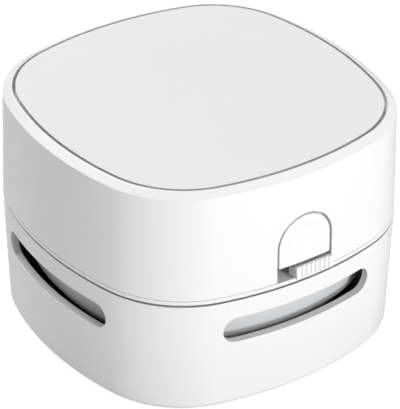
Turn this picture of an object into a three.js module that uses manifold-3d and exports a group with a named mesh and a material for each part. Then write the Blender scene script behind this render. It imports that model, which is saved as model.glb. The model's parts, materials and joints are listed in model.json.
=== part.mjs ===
// Desktop mini vacuum cleaner for two AA cells, in millimetres, +Z up.
// The origin is on the table under the middle of the body, and the slide switch faces -Y.
import * as THREE from 'three';
import { mergeVertices } from 'three/addons/utils/BufferGeometryUtils.js';
import Module from 'manifold-3d';

const wasm = await Module();
wasm.setup();

// Driving dimensions of the body
const bodyHalf = 42.5;
const sideBowRadius = 83.7;
const cornerRadius = 25.6;
const topHeight = 58.65;
const shoulderDrop = 1.22;
const seamHeight = 29.8;
const seamGap = 0.6;
const rimHeight = 0.95;
const rimGap = 0.25;
const wall = 2;
const upperDraft = 0.67;
const lowerDraft = 0.95;
const footProud = 0.8;
const bottomFillet = 1.5;
const lipWidth = 0.4;
const rebateDepth = 1.5;
const fitGap = 0.3;
const overrun = 0.5;

// Facet counts
const sideSteps = 6;
const cornerSteps = 8;
const filletSteps = 3;
const roundSides = 18;
const smallSides = 10;
const turnedSides = 36;

// Top panel and the rim it drops into
const wellInset = 3;
const rimLand = 0.35;
const panelGap = 0.5;
const panelThickness = 1.8;
const ledgeWidth = 2;
const ledgeThickness = 1.5;
const panelTabLength = 8;
const panelTabThickness = 1.2;
const panelTabDrop = 3;

// Heights that follow, up to the room in the head above the chassis plate
const rimBottom = seamHeight + seamGap;
const rimTop = rimBottom + rimHeight;
const upperBottom = rimTop + rimGap;
const shoulderHeight = topHeight - shoulderDrop;
const ledgeHeight = topHeight - panelThickness;
const headRoom = ledgeHeight - rimTop;

// Rounded square of four bowed sides and four corner arcs that meet without a kink
function roundedSquare(half, bowRadius, arcRadius) {
  const sideCentre = half - bowRadius;
  const arcReach = bowRadius - arcRadius;
  const cornerCentre = (2 * sideCentre + Math.sqrt(8 * arcReach ** 2 - 4 * sideCentre ** 2)) / 4;
  return { bowRadius, arcRadius, sideCentre, cornerCentre };
}

const bodyPlan = roundedSquare(bodyHalf, sideBowRadius, cornerRadius);
const bodyDiagonal = Math.SQRT2 * bodyPlan.cornerCentre + cornerRadius;

// Exhaust slots in the four sides of the dust box
const slotMargin = 44;
const slotLength = 2 * bodyHalf - slotMargin;
const slotHeight = 6.7;
const slotDrop = 8.15;
const slotMid = seamHeight - slotDrop;

// Arched switch bezel and the track under it
const archRiseShare = 0.6235;
const archHalfShare = 0.478;
const archRise = headRoom * archRiseShare;
const archHalf = archRise * archHalfShare;
const archTop = upperBottom + archRise;
const archGap = 0.45;
const trackHeight = 3.6;
const bezelSink = 0.15;
const bezelLap = 1.6;
const bezelBackThickness = 1.4;
const stemSlotHeight = 3.2;
const stemSlotDrop = 0.3;
const stemSlotEnd = 0.4;

// Slide knob and the switch behind it
const knobLengthShare = 1.342;
const knobRestShare = 0.237;
const knobLength = archHalf * knobLengthShare;
const knobRest = archHalf * knobRestShare;
const knobTravel = archHalf / 2;
const knobProud = 1.3;
const knobTopProud = 0.25;
const knobTopGap = 0.75;
const knobRidges = 8;
const grooveDepth = 0.35;
const grooveShare = 0.4;
const stemLength = 3;
const stemHeight = 1;
const forkReach = 1.4;
const forkSlot = 1.6;
const leverLength = 1;
const leverReach = 2;
const switchLength = 12;
const switchDepth = 5;
const switchRoom = 2;
const switchWall = 1.2;

// Battery cells and their cradle
const cellRoomShare = 0.237767;
const cellRoomPower = 0.65;
const cellStretch = 2.5;
const cellStart = 22.7;
const cellRadius = cellRoomShare * headRoom ** cellRoomPower * bodyHalf ** (1 - cellRoomPower);
const cellLength = cellStretch * (bodyHalf - cellStart);
const cellNubRadius = cellRadius * 0.38;
const cellNubLength = 1;
const cellSealRadius = cellRadius * 0.77;
const cradleGap = 0.3;
const cradleSkin = 1.4;
const cradleRise = cellRadius * 0.83;
const springRoom = 5.2;
const contactThickness = 0.4;
const contactWidth = cellRadius * 1.24;
const contactRise = cellRadius * 0.69;
const springWire = 0.35;
const springBigRadius = cellRadius * 0.47;
const springSmallRadius = cellRadius * 0.3;
const springTurns = 4;
const springStepsPerTurn = 8;
const springWireSides = 5;
const legRadius = 2.2;
const legShare = 0.75;
const bossHeight = headRoom * 0.2118;
const bossRadius = 2.6;
const webThickness = 1.5;

// Motor, shaft and impeller
const motorRadius = bodyHalf * 0.287;
const motorLength = headRoom * 0.6667;
const motorCapHeight = headRoom * 0.0863;
const motorCapRadius = motorRadius * 0.852;
const motorGap = 0.4;
const collarWall = 1.5;
const collarHeight = headRoom * 0.1176;
const shaftRadius = 1;
const shaftGap = 0.08;
const shaftProud = 1.6;
const bushRadius = 3;
const bushHeight = 1.6;
const terminalWidth = 2;
const terminalThickness = 0.5;
const terminalHeight = headRoom * 0.1176;
const terminalReach = motorRadius * 0.574;
const impellerDiscThickness = 1;
const impellerTopDrop = 6;
const hubRadius = 4;
const hubRise = 2.6;
const impellerFloorGap = 1.4;
const bladeTipShare = 0.7;
const bladeCount = 9;
const bladeThickness = 1;
const bladeRoot = 6.5;
const bladeSteps = 6;
const bladeSweep = Math.PI / 4;

// Fan bowl hanging under the chassis plate, with the impeller in it
const bowlClearance = 8.74;
const bowlRadius = bodyDiagonal - bowlClearance;
const bowlBowShare = 1.58;
const bowlCornerShare = 0.79;
const bowlPlan = roundedSquare(bowlRadius, bowlRadius * bowlBowShare, bowlRadius * bowlCornerShare);
const bowlBottom = 13.2;
const bowlFillet = 4.5;
const bowlWall = 1.5;
const bowlFilletSteps = 3;
const impellerClearance = 10;
const impellerRadius = bowlRadius - impellerClearance;
const eyeRadius = impellerRadius / 2;
const windowCount = 12;
const windowLength = 8;
const windowHeight = 5;
const windowReach = 4;
const windowDrop = 5.9;
const earReach = 2.6;
const earPlace = (bowlRadius + earReach) / Math.SQRT2;
const earRadius = 2.2;
const earThickness = 1.5;
const pocketRadius = 2.6;

// Chassis plate skirt, which drops into the dust box
const skirtDrop = 3;
const skirtWall = 1.2;

// Filter
const filterBottom = 10.5;
const filterPlate = 1.8;
const filterClearance = 13;
const filterRadius = bowlRadius - filterClearance;
const filterRim = 1.8;
const filterGap = 0.3;
const gridHeight = 1;
const gridBar = 1.2;
const gridCount = 3;
const gridPitch = 2 * filterRadius / (gridCount + 1);

// Base plate, inlet, brushes and feet
const baseInset = 3.5;
const baseThickness = 1.8;
const baseLedge = 2.4;
const baseLedgeThickness = 1.5;
const brushMargin = 40;
const brushLength = 2 * bodyHalf - brushMargin;
const inletMargin = 5;
const inletLength = brushLength - inletMargin;
const inletWidth = 12;
const brushPlace = 9.6;
const brushWidth = 2.4;
const brushBack = 1.1;
const brushGap = 0.3;
const brushWall = 1;
const brushRoof = 1;
const brushDepth = 3.9;
const strandColumns = 50;
const strandRows = 3;
const strandRadius = 0.16;
const strandSides = 3;
const strandClear = 0.2;
const footRadius = 4;
const footShare = 0.6;
const footPlace = bodyHalf * footShare;
const footRecess = 0.8;
const footChamfer = 0.4;
const postInset = 8.5;
const postPlace = bodyHalf - postInset;
const postRadius = 3;
const postRib = 1.6;

// Screws
const screwRadius = 1;
const screwHole = 1.3;
const screwHeadRadius = 2;
const screwHeadHeight = 1.4;
const screwBite = 5;
const screwTipGap = 0.6;
const headSink = 0.7;
const motorScrewPlace = motorRadius * 0.656;
const motorScrewBite = 2.6;

const quarters = [0, 1, 2, 3];
const signs = [-1, 1];

const materials = {
  shell: new THREE.MeshStandardMaterial({ color: 0xf2f2f2, roughness: 0.25, metalness: 0 }),
  panel: new THREE.MeshStandardMaterial({ color: 0xe6e6e6, roughness: 0.45, metalness: 0 }),
  inner: new THREE.MeshStandardMaterial({ color: 0xdcdcdc, roughness: 0.4, metalness: 0 }),
  black: new THREE.MeshStandardMaterial({ color: 0x1c1c1e, roughness: 0.6, metalness: 0 }),
  foam: new THREE.MeshStandardMaterial({ color: 0x3a3a3c, roughness: 0.95, metalness: 0 }),
  steel: new THREE.MeshStandardMaterial({ color: 0xb8babd, roughness: 0.35, metalness: 1 }),
  nickel: new THREE.MeshStandardMaterial({ color: 0xd0cec8, roughness: 0.25, metalness: 1 }),
  bronze: new THREE.MeshStandardMaterial({ color: 0xa87a45, roughness: 0.5, metalness: 1 }),
  rubber: new THREE.MeshStandardMaterial({ color: 0x3c3c3e, roughness: 0.85, metalness: 0 }),
  bristle: new THREE.MeshStandardMaterial({ color: 0x2a2a2c, roughness: 0.7, metalness: 0 }),
  cell: new THREE.MeshStandardMaterial({ color: 0x4a5560, roughness: 0.4, metalness: 0.3 }),
};

const cleaner = new THREE.Group();

// Reverses the winding where a closed geometry encloses a negative volume
function facingOut(geometry) {
  const cornerCount = 3;
  const stride = 3 * cornerCount;
  const flat = geometry.index ? geometry.toNonIndexed() : geometry;
  const places = flat.attributes.position;
  const corners = [new THREE.Vector3(), new THREE.Vector3(), new THREE.Vector3()];
  let volume = 0;
  for (let start = 0; start < places.count; start += 3) {
    corners.forEach((corner, step) => corner.fromBufferAttribute(places, start + step));
    volume += corners[0].dot(corners[1].clone().cross(corners[2]));
  }
  if (volume > 0) return flat;
  const turned = places.array.slice();
  for (let start = 0; start < turned.length; start += stride) {
    for (let axis = 0; axis < 3; axis += 1) {
      const held = turned[start + 3 + axis];
      turned[start + 3 + axis] = turned[start + 6 + axis];
      turned[start + 6 + axis] = held;
    }
  }
  const outward = new THREE.BufferGeometry();
  outward.setAttribute('position', new THREE.BufferAttribute(turned, 3));
  return outward;
}

// Makes a solid of a closed geometry
function solid(geometry) {
  const plain = facingOut(geometry);
  plain.deleteAttribute('normal');
  plain.deleteAttribute('uv');
  const merged = mergeVertices(plain);
  return new wasm.Manifold(new wasm.Mesh({
    numProp: 3,
    vertProperties: new Float32Array(merged.attributes.position.array),
    triVerts: new Uint32Array(merged.index.array),
  }));
}

function joined(...solids) {
  return solids.reduce((whole, next) => whole.add(next));
}

function cut(whole, ...tools) {
  return tools.reduce((left, tool) => left.subtract(tool), whole);
}

// Adds one named piece to the cleaner
function addPiece(name, shape, material, place = new THREE.Vector3()) {
  const mesh = shape.getMesh();
  const indexed = new THREE.BufferGeometry();
  indexed.setAttribute('position', new THREE.BufferAttribute(mesh.vertProperties, 3));
  indexed.setIndex(new THREE.BufferAttribute(mesh.triVerts, 1));
  const geometry = indexed.toNonIndexed();
  geometry.computeVertexNormals();
  const piece = new THREE.Mesh(geometry, material);
  piece.name = name;
  piece.position.copy(place);
  cleaner.add(piece);
  return piece;
}

function block(lowX, highX, lowY, highY, lowZ, highZ) {
  const box = new THREE.BoxGeometry(highX - lowX, highY - lowY, highZ - lowZ);
  box.translate((lowX + highX) / 2, (lowY + highY) / 2, (lowZ + highZ) / 2);
  return solid(box);
}

// Upright round rod; a second radius at the top makes a cone
function rod(radius, bottom, top, x = 0, y = 0, sides = smallSides, topRadius = radius) {
  const cylinder = new THREE.CylinderGeometry(topRadius, radius, top - bottom, sides);
  cylinder.rotateX(Math.PI / 2);
  cylinder.translate(x, y, (bottom + top) / 2);
  return solid(cylinder);
}

// Rod lying along X
function lyingRod(radius, from, to, y, z, sides = roundSides) {
  const cylinder = new THREE.CylinderGeometry(radius, radius, to - from, sides);
  cylinder.rotateZ(-Math.PI / 2);
  cylinder.translate((from + to) / 2, y, z);
  return solid(cylinder);
}

// Turned solid: pairs of radius and height round the Z axis
function turned(pairs, sides = turnedSides) {
  const points = pairs.map(([radius, height]) => new THREE.Vector2(radius, height));
  const lathe = new THREE.LatheGeometry(points, sides);
  lathe.rotateX(Math.PI / 2);
  return solid(lathe);
}

// Shape drawn in X and Z and run along Y
function prismAlongY(shape, fromY, toY, curveSegments) {
  const depth = toY - fromY;
  const prism = new THREE.ExtrudeGeometry(shape, { depth, curveSegments, bevelEnabled: false });
  prism.rotateX(Math.PI / 2);
  prism.translate(0, toY, 0);
  return prism;
}

// Shape drawn in Y and Z and run along X
function prismAlongX(shape, fromX, toX, curveSegments) {
  const depth = toX - fromX;
  const prism = new THREE.ExtrudeGeometry(shape, { depth, curveSegments, bevelEnabled: false });
  prism.rotateX(Math.PI / 2);
  prism.rotateZ(Math.PI / 2);
  prism.translate(fromX, 0, 0);
  return prism;
}

function stadium(length, height, midHeight) {
  const end = height / 2;
  const straight = length / 2 - end;
  const shape = new THREE.Shape();
  shape.absarc(straight, midHeight, end, -Math.PI / 2, Math.PI / 2);
  shape.absarc(-straight, midHeight, end, Math.PI / 2, Math.PI * 3 / 2);
  return shape;
}

// Arch with upright sides and a half-round top
function arch(half, bottom, top) {
  const shape = new THREE.Shape();
  shape.moveTo(-half, bottom);
  shape.lineTo(half, bottom);
  shape.absarc(0, top - half, half, 0, Math.PI);
  shape.lineTo(-half, bottom);
  return shape;
}

// Points of a rounded square, moved inwards by an inset
function plan(square, inset) {
  const { bowRadius, arcRadius, sideCentre, cornerCentre } = square;
  const sweep = Math.atan2(cornerCentre, cornerCentre - sideCentre);
  const points = [];
  for (const quarter of quarters) {
    const turn = quarter * Math.PI / 2;
    for (let step = 0; step < sideSteps; step += 1) {
      const angle = sweep * (2 * step / sideSteps - 1);
      const radius = bowRadius - inset;
      const point = new THREE.Vector2(sideCentre + radius * Math.cos(angle), radius * Math.sin(angle));
      points.push(point.rotateAround(new THREE.Vector2(), turn));
    }
    for (let step = 0; step < cornerSteps; step += 1) {
      const angle = sweep + (Math.PI / 2 - 2 * sweep) * step / cornerSteps;
      const radius = arcRadius - inset;
      const point = new THREE.Vector2(
        cornerCentre + radius * Math.cos(angle), cornerCentre + radius * Math.sin(angle));
      points.push(point.rotateAround(new THREE.Vector2(), turn));
    }
  }
  return points;
}

// Rings of a rounded square, one for each pair of inset and height, skinned with triangles
function skin(pairs, closed, square = bodyPlan) {
  const rings = pairs.map(([inset, height]) => plan(square, inset).map((p) => [p.x, p.y, height]));
  const count = rings[0].length;
  const places = [];
  const face = (...corners) => corners.forEach((corner) => places.push(...corner));
  const last = closed ? rings.length : rings.length - 1;
  for (let level = 0; level < last; level += 1) {
    const low = rings[level];
    const high = rings[(level + 1) % rings.length];
    for (let side = 0; side < count; side += 1) {
      const next = (side + 1) % count;
      face(low[side], low[next], high[next]);
      face(low[side], high[next], high[side]);
    }
  }
  if (!closed) {
    const bottom = rings[0];
    const top = rings[rings.length - 1];
    for (let side = 0; side < count; side += 1) {
      const next = (side + 1) % count;
      face([0, 0, bottom[0][2]], bottom[next], bottom[side]);
      face([0, 0, top[0][2]], top[side], top[next]);
    }
  }
  const geometry = new THREE.BufferGeometry();
  geometry.setAttribute('position', new THREE.BufferAttribute(new Float32Array(places), 3));
  return solid(geometry);
}

// Hollow band: its section is a closed run of insets and heights, up the outside first
function band(pairs) {
  return skin(pairs, true);
}

// Plate or block with the body's plan or another rounded square
function slab(pairs, square) {
  return skin(pairs, false, square);
}

// Inset of the outer wall at a height, from the draft of each moulding
function upperInset(height) {
  return upperDraft * (height - seamHeight) / (shoulderHeight - seamHeight);
}

function lowerInset(height) {
  return lowerDraft * (seamHeight - height) / (seamHeight - footProud);
}

// How far a straight cutter must reach to pass the bowed wall over a half length
function reachThrough(halfLength) {
  const bow = sideBowRadius - Math.sqrt(sideBowRadius ** 2 - halfLength ** 2);
  return wall + lowerDraft + bow + overrun;
}

// Pan head screw driven upwards
function screw(x, y, headHigh, shankEnd) {
  const head = rod(screwHeadRadius, headHigh - screwHeadHeight, headHigh, x, y);
  return joined(head, rod(screwRadius, headHigh - overrun, shankEnd, x, y));
}

// Dust box with its four exhaust slots
const baseTop = footProud + baseThickness;
const recessInset = baseInset - fitGap;
const counterboreTop = footProud + headSink + overrun;

function lowerHousing() {
  const filletTop = footProud + bottomFillet;
  const fillet = [];
  for (let step = 0; step <= filletSteps; step += 1) {
    const angle = Math.PI / 2 * step / filletSteps;
    const inset = lowerInset(filletTop) + bottomFillet * (1 - Math.sin(angle));
    fillet.push([inset, filletTop - bottomFillet * Math.cos(angle)]);
  }
  const ledgeTop = baseTop + baseLedgeThickness;
  const ledgeInset = baseInset + baseLedge;
  const shell = band([
    ...fillet,
    [0, seamHeight],
    [lipWidth, seamHeight],
    [lipWidth, seamHeight - rebateDepth],
    [wall, seamHeight - rebateDepth],
    [lowerInset(ledgeTop) + wall, ledgeTop],
    [ledgeInset, ledgeTop],
    [ledgeInset, baseTop],
    [recessInset, baseTop],
    [recessInset, footProud],
  ]);
  const reach = reachThrough(slotLength / 2);
  const slot = prismAlongY(
    stadium(slotLength, slotHeight, slotMid), -bodyHalf - overrun, -bodyHalf + reach, smallSides / 2);
  const slots = quarters.map((quarter) => solid(slot.clone().rotateZ(quarter * Math.PI / 2)));
  const posts = quarters.map((quarter) => {
    const x = postPlace * Math.cos(quarter * Math.PI / 2);
    const y = postPlace * Math.sin(quarter * Math.PI / 2);
    return rod(postRadius, baseTop, filterBottom, x, y);
  });
  const ribEnd = bodyHalf - wall;
  const ribs = quarters.map((quarter) => {
    const rib = new THREE.BoxGeometry(ribEnd - postPlace, postRib, filterBottom - baseTop);
    rib.translate((ribEnd + postPlace) / 2, 0, (filterBottom + baseTop) / 2);
    return solid(rib.rotateZ(quarter * Math.PI / 2));
  });
  const holes = quarters.map((quarter) => {
    const x = postPlace * Math.cos(quarter * Math.PI / 2);
    const y = postPlace * Math.sin(quarter * Math.PI / 2);
    return rod(screwHole, baseTop - overrun, baseTop + screwBite + screwTipGap, x, y);
  });
  return cut(joined(shell, ...posts, ...ribs), ...slots, ...holes);
}

// Base plate with the inlet, the two brush channels, foot recesses and screw holes
const brushRoofHeight = footProud + brushDepth;

function footPlaces() {
  return signs.flatMap((signX) => signs.map((signY) => [signX * footPlace, signY * footPlace]));
}

function postPlaces() {
  return quarters.map((quarter) => {
    const angle = quarter * Math.PI / 2;
    return [Math.round(Math.cos(angle)) * postPlace, Math.round(Math.sin(angle)) * postPlace];
  });
}

function basePlate() {
  const plate = slab([[baseInset, footProud], [baseInset, baseTop]]);
  const channelHalf = brushLength / 2 + brushGap;
  const channelSide = brushWidth / 2 + brushGap;
  const channelTop = brushRoofHeight + brushRoof;
  const channels = signs.map((sign) => block(
    -channelHalf - brushWall, channelHalf + brushWall,
    sign * brushPlace - channelSide - brushWall, sign * brushPlace + channelSide + brushWall,
    footProud + overrun, channelTop));
  const lips = signs.map((sign) => block(
    sign * (inletLength / 2 + brushWall / 2) - brushWall / 2,
    sign * (inletLength / 2 + brushWall / 2) + brushWall / 2,
    -brushPlace, brushPlace, footProud + overrun, channelTop));
  const pockets = signs.map((sign) => block(
    -channelHalf, channelHalf, sign * brushPlace - channelSide, sign * brushPlace + channelSide,
    footProud - overrun, brushRoofHeight));
  const inlet = block(
    -inletLength / 2, inletLength / 2, -inletWidth / 2, inletWidth / 2,
    footProud - overrun, channelTop + overrun);
  const recesses = footPlaces().map(([x, y]) => rod(
    footRadius + fitGap, footProud - overrun, footProud + footRecess, x, y, roundSides));
  const counterbores = postPlaces().map(([x, y]) => rod(
    screwHeadRadius + fitGap, footProud - overrun, counterboreTop, x, y));
  const holes = postPlaces().map(([x, y]) => rod(screwHole, footProud, baseTop + overrun, x, y));
  return cut(joined(plate, ...channels, ...lips), ...pockets, inlet, ...recesses, ...counterbores, ...holes);
}

function foot(x, y) {
  const top = footProud + footRecess;
  const body = rod(footRadius, footChamfer, top, x, y, roundSides);
  const chamfer = rod(footRadius - footChamfer, 0, footChamfer, x, y, roundSides, footRadius);
  return joined(body, chamfer);
}

// Nylon brush strip: strands fused to a slice of backing
function brushStrip() {
  const back = block(
    -brushLength / 2, brushLength / 2, -brushWidth / 2, brushWidth / 2,
    brushRoofHeight - brushBack, brushRoofHeight);
  const root = brushRoofHeight - brushBack / 2;
  const strands = [];
  for (let row = 0; row < strandRows; row += 1) {
    for (let column = 0; column < strandColumns; column += 1) {
      const x = brushLength * ((column + 0.5) / strandColumns - 0.5);
      const y = brushWidth * ((row + 0.5) / strandRows - 0.5);
      strands.push(rod(strandRadius, strandClear, root, x, y, strandSides));
    }
  }
  return joined(back, ...strands);
}

// Filter frame on the four posts, with its grid, and the foam disc it carries
function filterFrame() {
  const top = filterBottom + filterPlate;
  const inset = (height) => lowerInset(height) + wall + fitGap;
  const plate = slab([[inset(filterBottom), filterBottom], [inset(filterBottom), top]]);
  const rimHeightTop = bowlBottom - filterGap;
  const rim = rod(filterRadius + filterRim, top - overrun, rimHeightTop, 0, 0, turnedSides);
  const bore = rod(filterRadius, filterBottom - overrun, rimHeightTop + overrun, 0, 0, turnedSides);
  const bars = [];
  for (let step = 0; step < gridCount; step += 1) {
    const place = (step - (gridCount - 1) / 2) * gridPitch;
    const half = filterRadius + filterRim / 2;
    const run = Math.sqrt(half ** 2 - place ** 2);
    const low = place - gridBar / 2;
    const high = place + gridBar / 2;
    bars.push(block(-run, run, low, high, filterBottom, filterBottom + gridHeight));
    bars.push(block(low, high, -run, run, filterBottom, filterBottom + gridHeight));
  }
  return joined(cut(joined(plate, rim), bore), ...bars);
}

function filterFoam() {
  return rod(filterRadius - filterGap, filterBottom + gridHeight, bowlBottom - filterGap, 0, 0, turnedSides);
}

// Fan bowl with the inlet eye, outlet windows and four screw ears
function earPlaces() {
  return signs.flatMap((signX) => signs.map((signY) => [signX * earPlace, signY * earPlace]));
}

function fanBowl() {
  const filletCentre = bowlBottom + bowlFillet;
  const outer = [];
  const inner = [];
  for (let step = 0; step <= bowlFilletSteps; step += 1) {
    const angle = Math.PI / 2 * step / bowlFilletSteps;
    const inwards = 1 - Math.sin(angle);
    const radius = bowlFillet - bowlWall;
    outer.push([bowlFillet * inwards, filletCentre - bowlFillet * Math.cos(angle)]);
    inner.push([bowlWall + radius * inwards, filletCentre - radius * Math.cos(angle)]);
  }
  outer.push([0, rimBottom]);
  inner.push([bowlWall, rimBottom + overrun]);
  const earLow = rimBottom - earThickness;
  const pockets = earPlaces().map(([x, y]) => rod(pocketRadius, bowlBottom - overrun, earLow, x, y));
  const walls = earPlaces().map(([x, y]) => rod(
    pocketRadius + bowlWall, bowlBottom - overrun, rimBottom + 2 * overrun, x, y));
  const room = cut(slab(inner, bowlPlan), ...walls);
  const eye = rod(eyeRadius, bowlBottom - overrun, bowlBottom + bowlWall + overrun, 0, 0, turnedSides);
  const bowl = cut(slab(outer, bowlPlan), ...pockets, room, eye);
  const windows = [];
  for (let step = 0; step < windowCount; step += 1) {
    const opening = new THREE.BoxGeometry(2 * windowReach, windowLength, windowHeight);
    opening.translate(bowlRadius, 0, rimBottom - windowDrop + windowHeight / 2);
    windows.push(solid(opening.rotateZ(2 * Math.PI * step / windowCount)));
  }
  const ears = earPlaces().map(([x, y]) => rod(earRadius, earLow, rimBottom, x, y));
  const holes = earPlaces().map(([x, y]) => rod(screwHole, earLow - overrun, rimBottom + overrun, x, y));
  return cut(joined(bowl, ...ears), ...windows, ...holes);
}

// Chassis plate: its edge is the narrow band above the seam
function chassisPlate() {
  const deck = slab([[upperInset(rimBottom), rimBottom], [upperInset(rimTop), rimTop]]);
  const skirtOut = lowerInset(seamHeight - skirtDrop) + wall + fitGap;
  const skirtLow = rimBottom - skirtDrop;
  const skirt = band([
    [skirtOut, skirtLow],
    [skirtOut, rimBottom + overrun],
    [skirtOut + skirtWall, rimBottom + overrun],
    [skirtOut + skirtWall, skirtLow],
  ]);
  const collar = rod(
    motorRadius + motorGap + collarWall, rimTop - overrun, rimTop + collarHeight, 0, 0, turnedSides);
  const well = rod(motorRadius + motorGap, rimTop, rimTop + collarHeight + overrun, 0, 0, turnedSides);
  const bushHole = rod(bushRadius + fitGap, rimBottom - overrun, rimTop + overrun, 0, 0, roundSides);
  const earHoles = earPlaces().map(([x, y]) => rod(screwHole, rimBottom - overrun, rimTop + overrun, x, y));
  const motorHoles = signs.map((sign) => rod(
    screwHole, rimBottom - overrun, rimTop + overrun, 0, sign * motorScrewPlace));
  return cut(joined(deck, skirt, collar), well, bushHole, ...earHoles, ...motorHoles);
}

// Upper housing: wall, sloping shoulder, rim and the ledge under the top panel
function upperHousing() {
  const ledgeLow = ledgeHeight - ledgeThickness;
  const shell = band([
    [upperInset(upperBottom), upperBottom],
    [upperInset(shoulderHeight), shoulderHeight],
    [wellInset - rimLand, topHeight],
    [wellInset, topHeight],
    [wellInset, ledgeHeight],
    [wellInset + ledgeWidth, ledgeHeight],
    [wellInset + ledgeWidth, ledgeLow],
    [upperInset(ledgeLow) + wall, ledgeLow],
    [upperInset(upperBottom) + wall, upperBottom],
  ]);
  const archCutter = solid(prismAlongY(
    arch(archHalf, upperBottom - overrun, archTop),
    -bodyHalf - overrun, -bodyHalf + reachThrough(archHalf), smallSides));
  const bosses = earPlaces().map(([x, y]) => {
    const boss = rod(bossRadius, upperBottom, upperBottom + bossHeight, x, y);
    const pull = Math.hypot(x, y);
    const length = bodyDiagonal - upperInset(upperBottom) - wall / 2 - pull;
    const rib = new THREE.BoxGeometry(length, postRib, bossHeight);
    rib.translate(pull + length / 2, 0, upperBottom + bossHeight / 2);
    return joined(boss, solid(rib.rotateZ(Math.atan2(y, x))));
  });
  const holes = earPlaces().map(([x, y]) => rod(
    screwHole, upperBottom - overrun, upperBottom + bossHeight - screwTipGap, x, y));
  return cut(joined(shell, ...bosses), archCutter, ...holes);
}

// Top panel, the lift-off cover of the battery bay
function topPanel() {
  const inset = wellInset + panelGap;
  const plate = slab([[inset, ledgeHeight], [inset, topHeight]]);
  const tabOut = bodyHalf - wellInset - ledgeWidth - fitGap;
  const tabs = quarters.map((quarter) => {
    const tab = new THREE.BoxGeometry(panelTabThickness, panelTabLength, panelTabDrop + overrun);
    tab.translate(tabOut - panelTabThickness / 2, 0, ledgeHeight - (panelTabDrop - overrun) / 2);
    return solid(tab.rotateZ(quarter * Math.PI / 2));
  });
  return joined(plate, ...tabs);
}

// Arched bezel: the face sits flush in the housing, its back laps behind the wall
const tabBottom = rimTop + trackHeight;
const bezelBackFront = wall + fitGap;
const bezelBackRear = bezelBackFront + bezelBackThickness;
const stemSlotTop = tabBottom - stemSlotDrop;
const stemSlotLow = stemSlotTop - stemSlotHeight;

function switchBezel() {
  const low = rimTop + fitGap;
  const high = archTop + bezelLap + overrun;
  const layer = (front, rear) => band([
    [upperInset(low) + front, low],
    [upperInset(high) + front, high],
    [upperInset(high) + rear, high],
    [upperInset(low) + rear, low],
  ]);
  const reach = -bodyHalf + reachThrough(archHalf) + bezelBackRear;
  const faceShape = arch(archHalf - archGap, tabBottom, archTop - archGap);
  const face = layer(bezelSink, bezelBackRear).intersect(
    solid(prismAlongY(faceShape, -bodyHalf - overrun, reach, smallSides)));
  const backShape = arch(archHalf + bezelLap, low, archTop + bezelLap);
  const back = layer(bezelBackFront, bezelBackRear).intersect(
    solid(prismAlongY(backShape, -bodyHalf - overrun, reach, smallSides)));
  const stemSlot = block(
    -archHalf + stemSlotEnd, archHalf - stemSlotEnd, -bodyHalf, reach, stemSlotLow, stemSlotTop);
  return cut(joined(face, back), stemSlot);
}

// Ribbed slide knob, whose face leans out towards its foot, with its stem and fork
const trackFront = -bodyHalf + upperInset(rimTop);
const knobBack = -bodyHalf + bezelBackFront - fitGap;
const stemLow = (stemSlotLow + stemSlotTop - stemHeight) / 2;
const stemHigh = stemLow + stemHeight;
const forkEnd = -bodyHalf + bezelBackRear + forkReach;

function slideKnob() {
  const low = rimTop + fitGap;
  const high = tabBottom - knobTopGap;
  const lean = (knobProud - knobTopProud) / (high - low);
  const faceAt = (height) => trackFront - knobProud + lean * (height - low);
  const left = knobRest - knobLength / 2;
  const section = (...corners) => new THREE.Shape(corners.map(([y, z]) => new THREE.Vector2(y, z)));
  const body = solid(prismAlongX(
    section([faceAt(low), low], [knobBack, low], [knobBack, high], [faceAt(high), high]),
    left, left + knobLength));
  const pitch = knobLength / (knobRidges - 0.5 + grooveShare);
  const before = faceAt(low) - 2 * overrun;
  const groove = section(
    [before, low - overrun], [faceAt(low - overrun) + grooveDepth, low - overrun],
    [faceAt(high + overrun) + grooveDepth, high + overrun], [before, high + overrun]);
  const grooves = [];
  for (let step = 0; step < knobRidges - 1; step += 1) {
    const centre = knobRest + (step - (knobRidges - 2) / 2) * pitch;
    const half = pitch * grooveShare / 2;
    grooves.push(solid(prismAlongX(groove, centre - half, centre + half)));
  }
  const stem = block(
    knobRest - stemLength / 2, knobRest + stemLength / 2, knobBack - overrun, forkEnd, stemLow, stemHigh);
  const forkGap = block(
    knobRest - forkSlot / 2, knobRest + forkSlot / 2, forkEnd - forkReach, forkEnd + overrun,
    stemLow - overrun, stemHigh + overrun);
  return cut(joined(cut(body, ...grooves), stem), forkGap);
}

// Slide switch standing on the chassis plate
const switchFront = forkEnd + fitGap;
const switchTop = stemHigh + switchRoom;

function switchBody() {
  const half = switchLength / 2;
  const body = block(-half, half, switchFront, switchFront + switchDepth, rimTop, switchTop);
  const leverRoom = knobTravel / 2 + leverLength / 2 + fitGap;
  const slot = block(
    -leverRoom, leverRoom, switchFront - overrun, switchFront + switchWall,
    stemLow - fitGap, stemHigh + fitGap);
  return cut(body, slot);
}

function switchLever() {
  return block(
    knobRest - leverLength / 2, knobRest + leverLength / 2,
    switchFront + switchWall - fitGap - leverReach, switchFront + switchWall - fitGap, stemLow, stemHigh);
}

// Battery cradle: two troughs joined by a web round the motor
const troughInner = cellRadius + cradleGap;
const troughOuter = troughInner + cradleSkin;
const cellPlaceY = motorRadius + motorGap + fitGap + troughOuter;
const cradleLow = upperBottom + bossHeight + fitGap;
const cellAxis = cradleLow + troughOuter;
const bayLength = cellLength + cellNubLength + contactThickness * 2 + springRoom;
const bayHalf = bayLength / 2;

function troughShape(radius, top) {
  const shape = new THREE.Shape();
  shape.moveTo(radius, top);
  shape.lineTo(-radius, top);
  shape.absarc(0, cellAxis, radius, Math.PI, 2 * Math.PI);
  shape.lineTo(radius, top);
  return shape;
}

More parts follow.
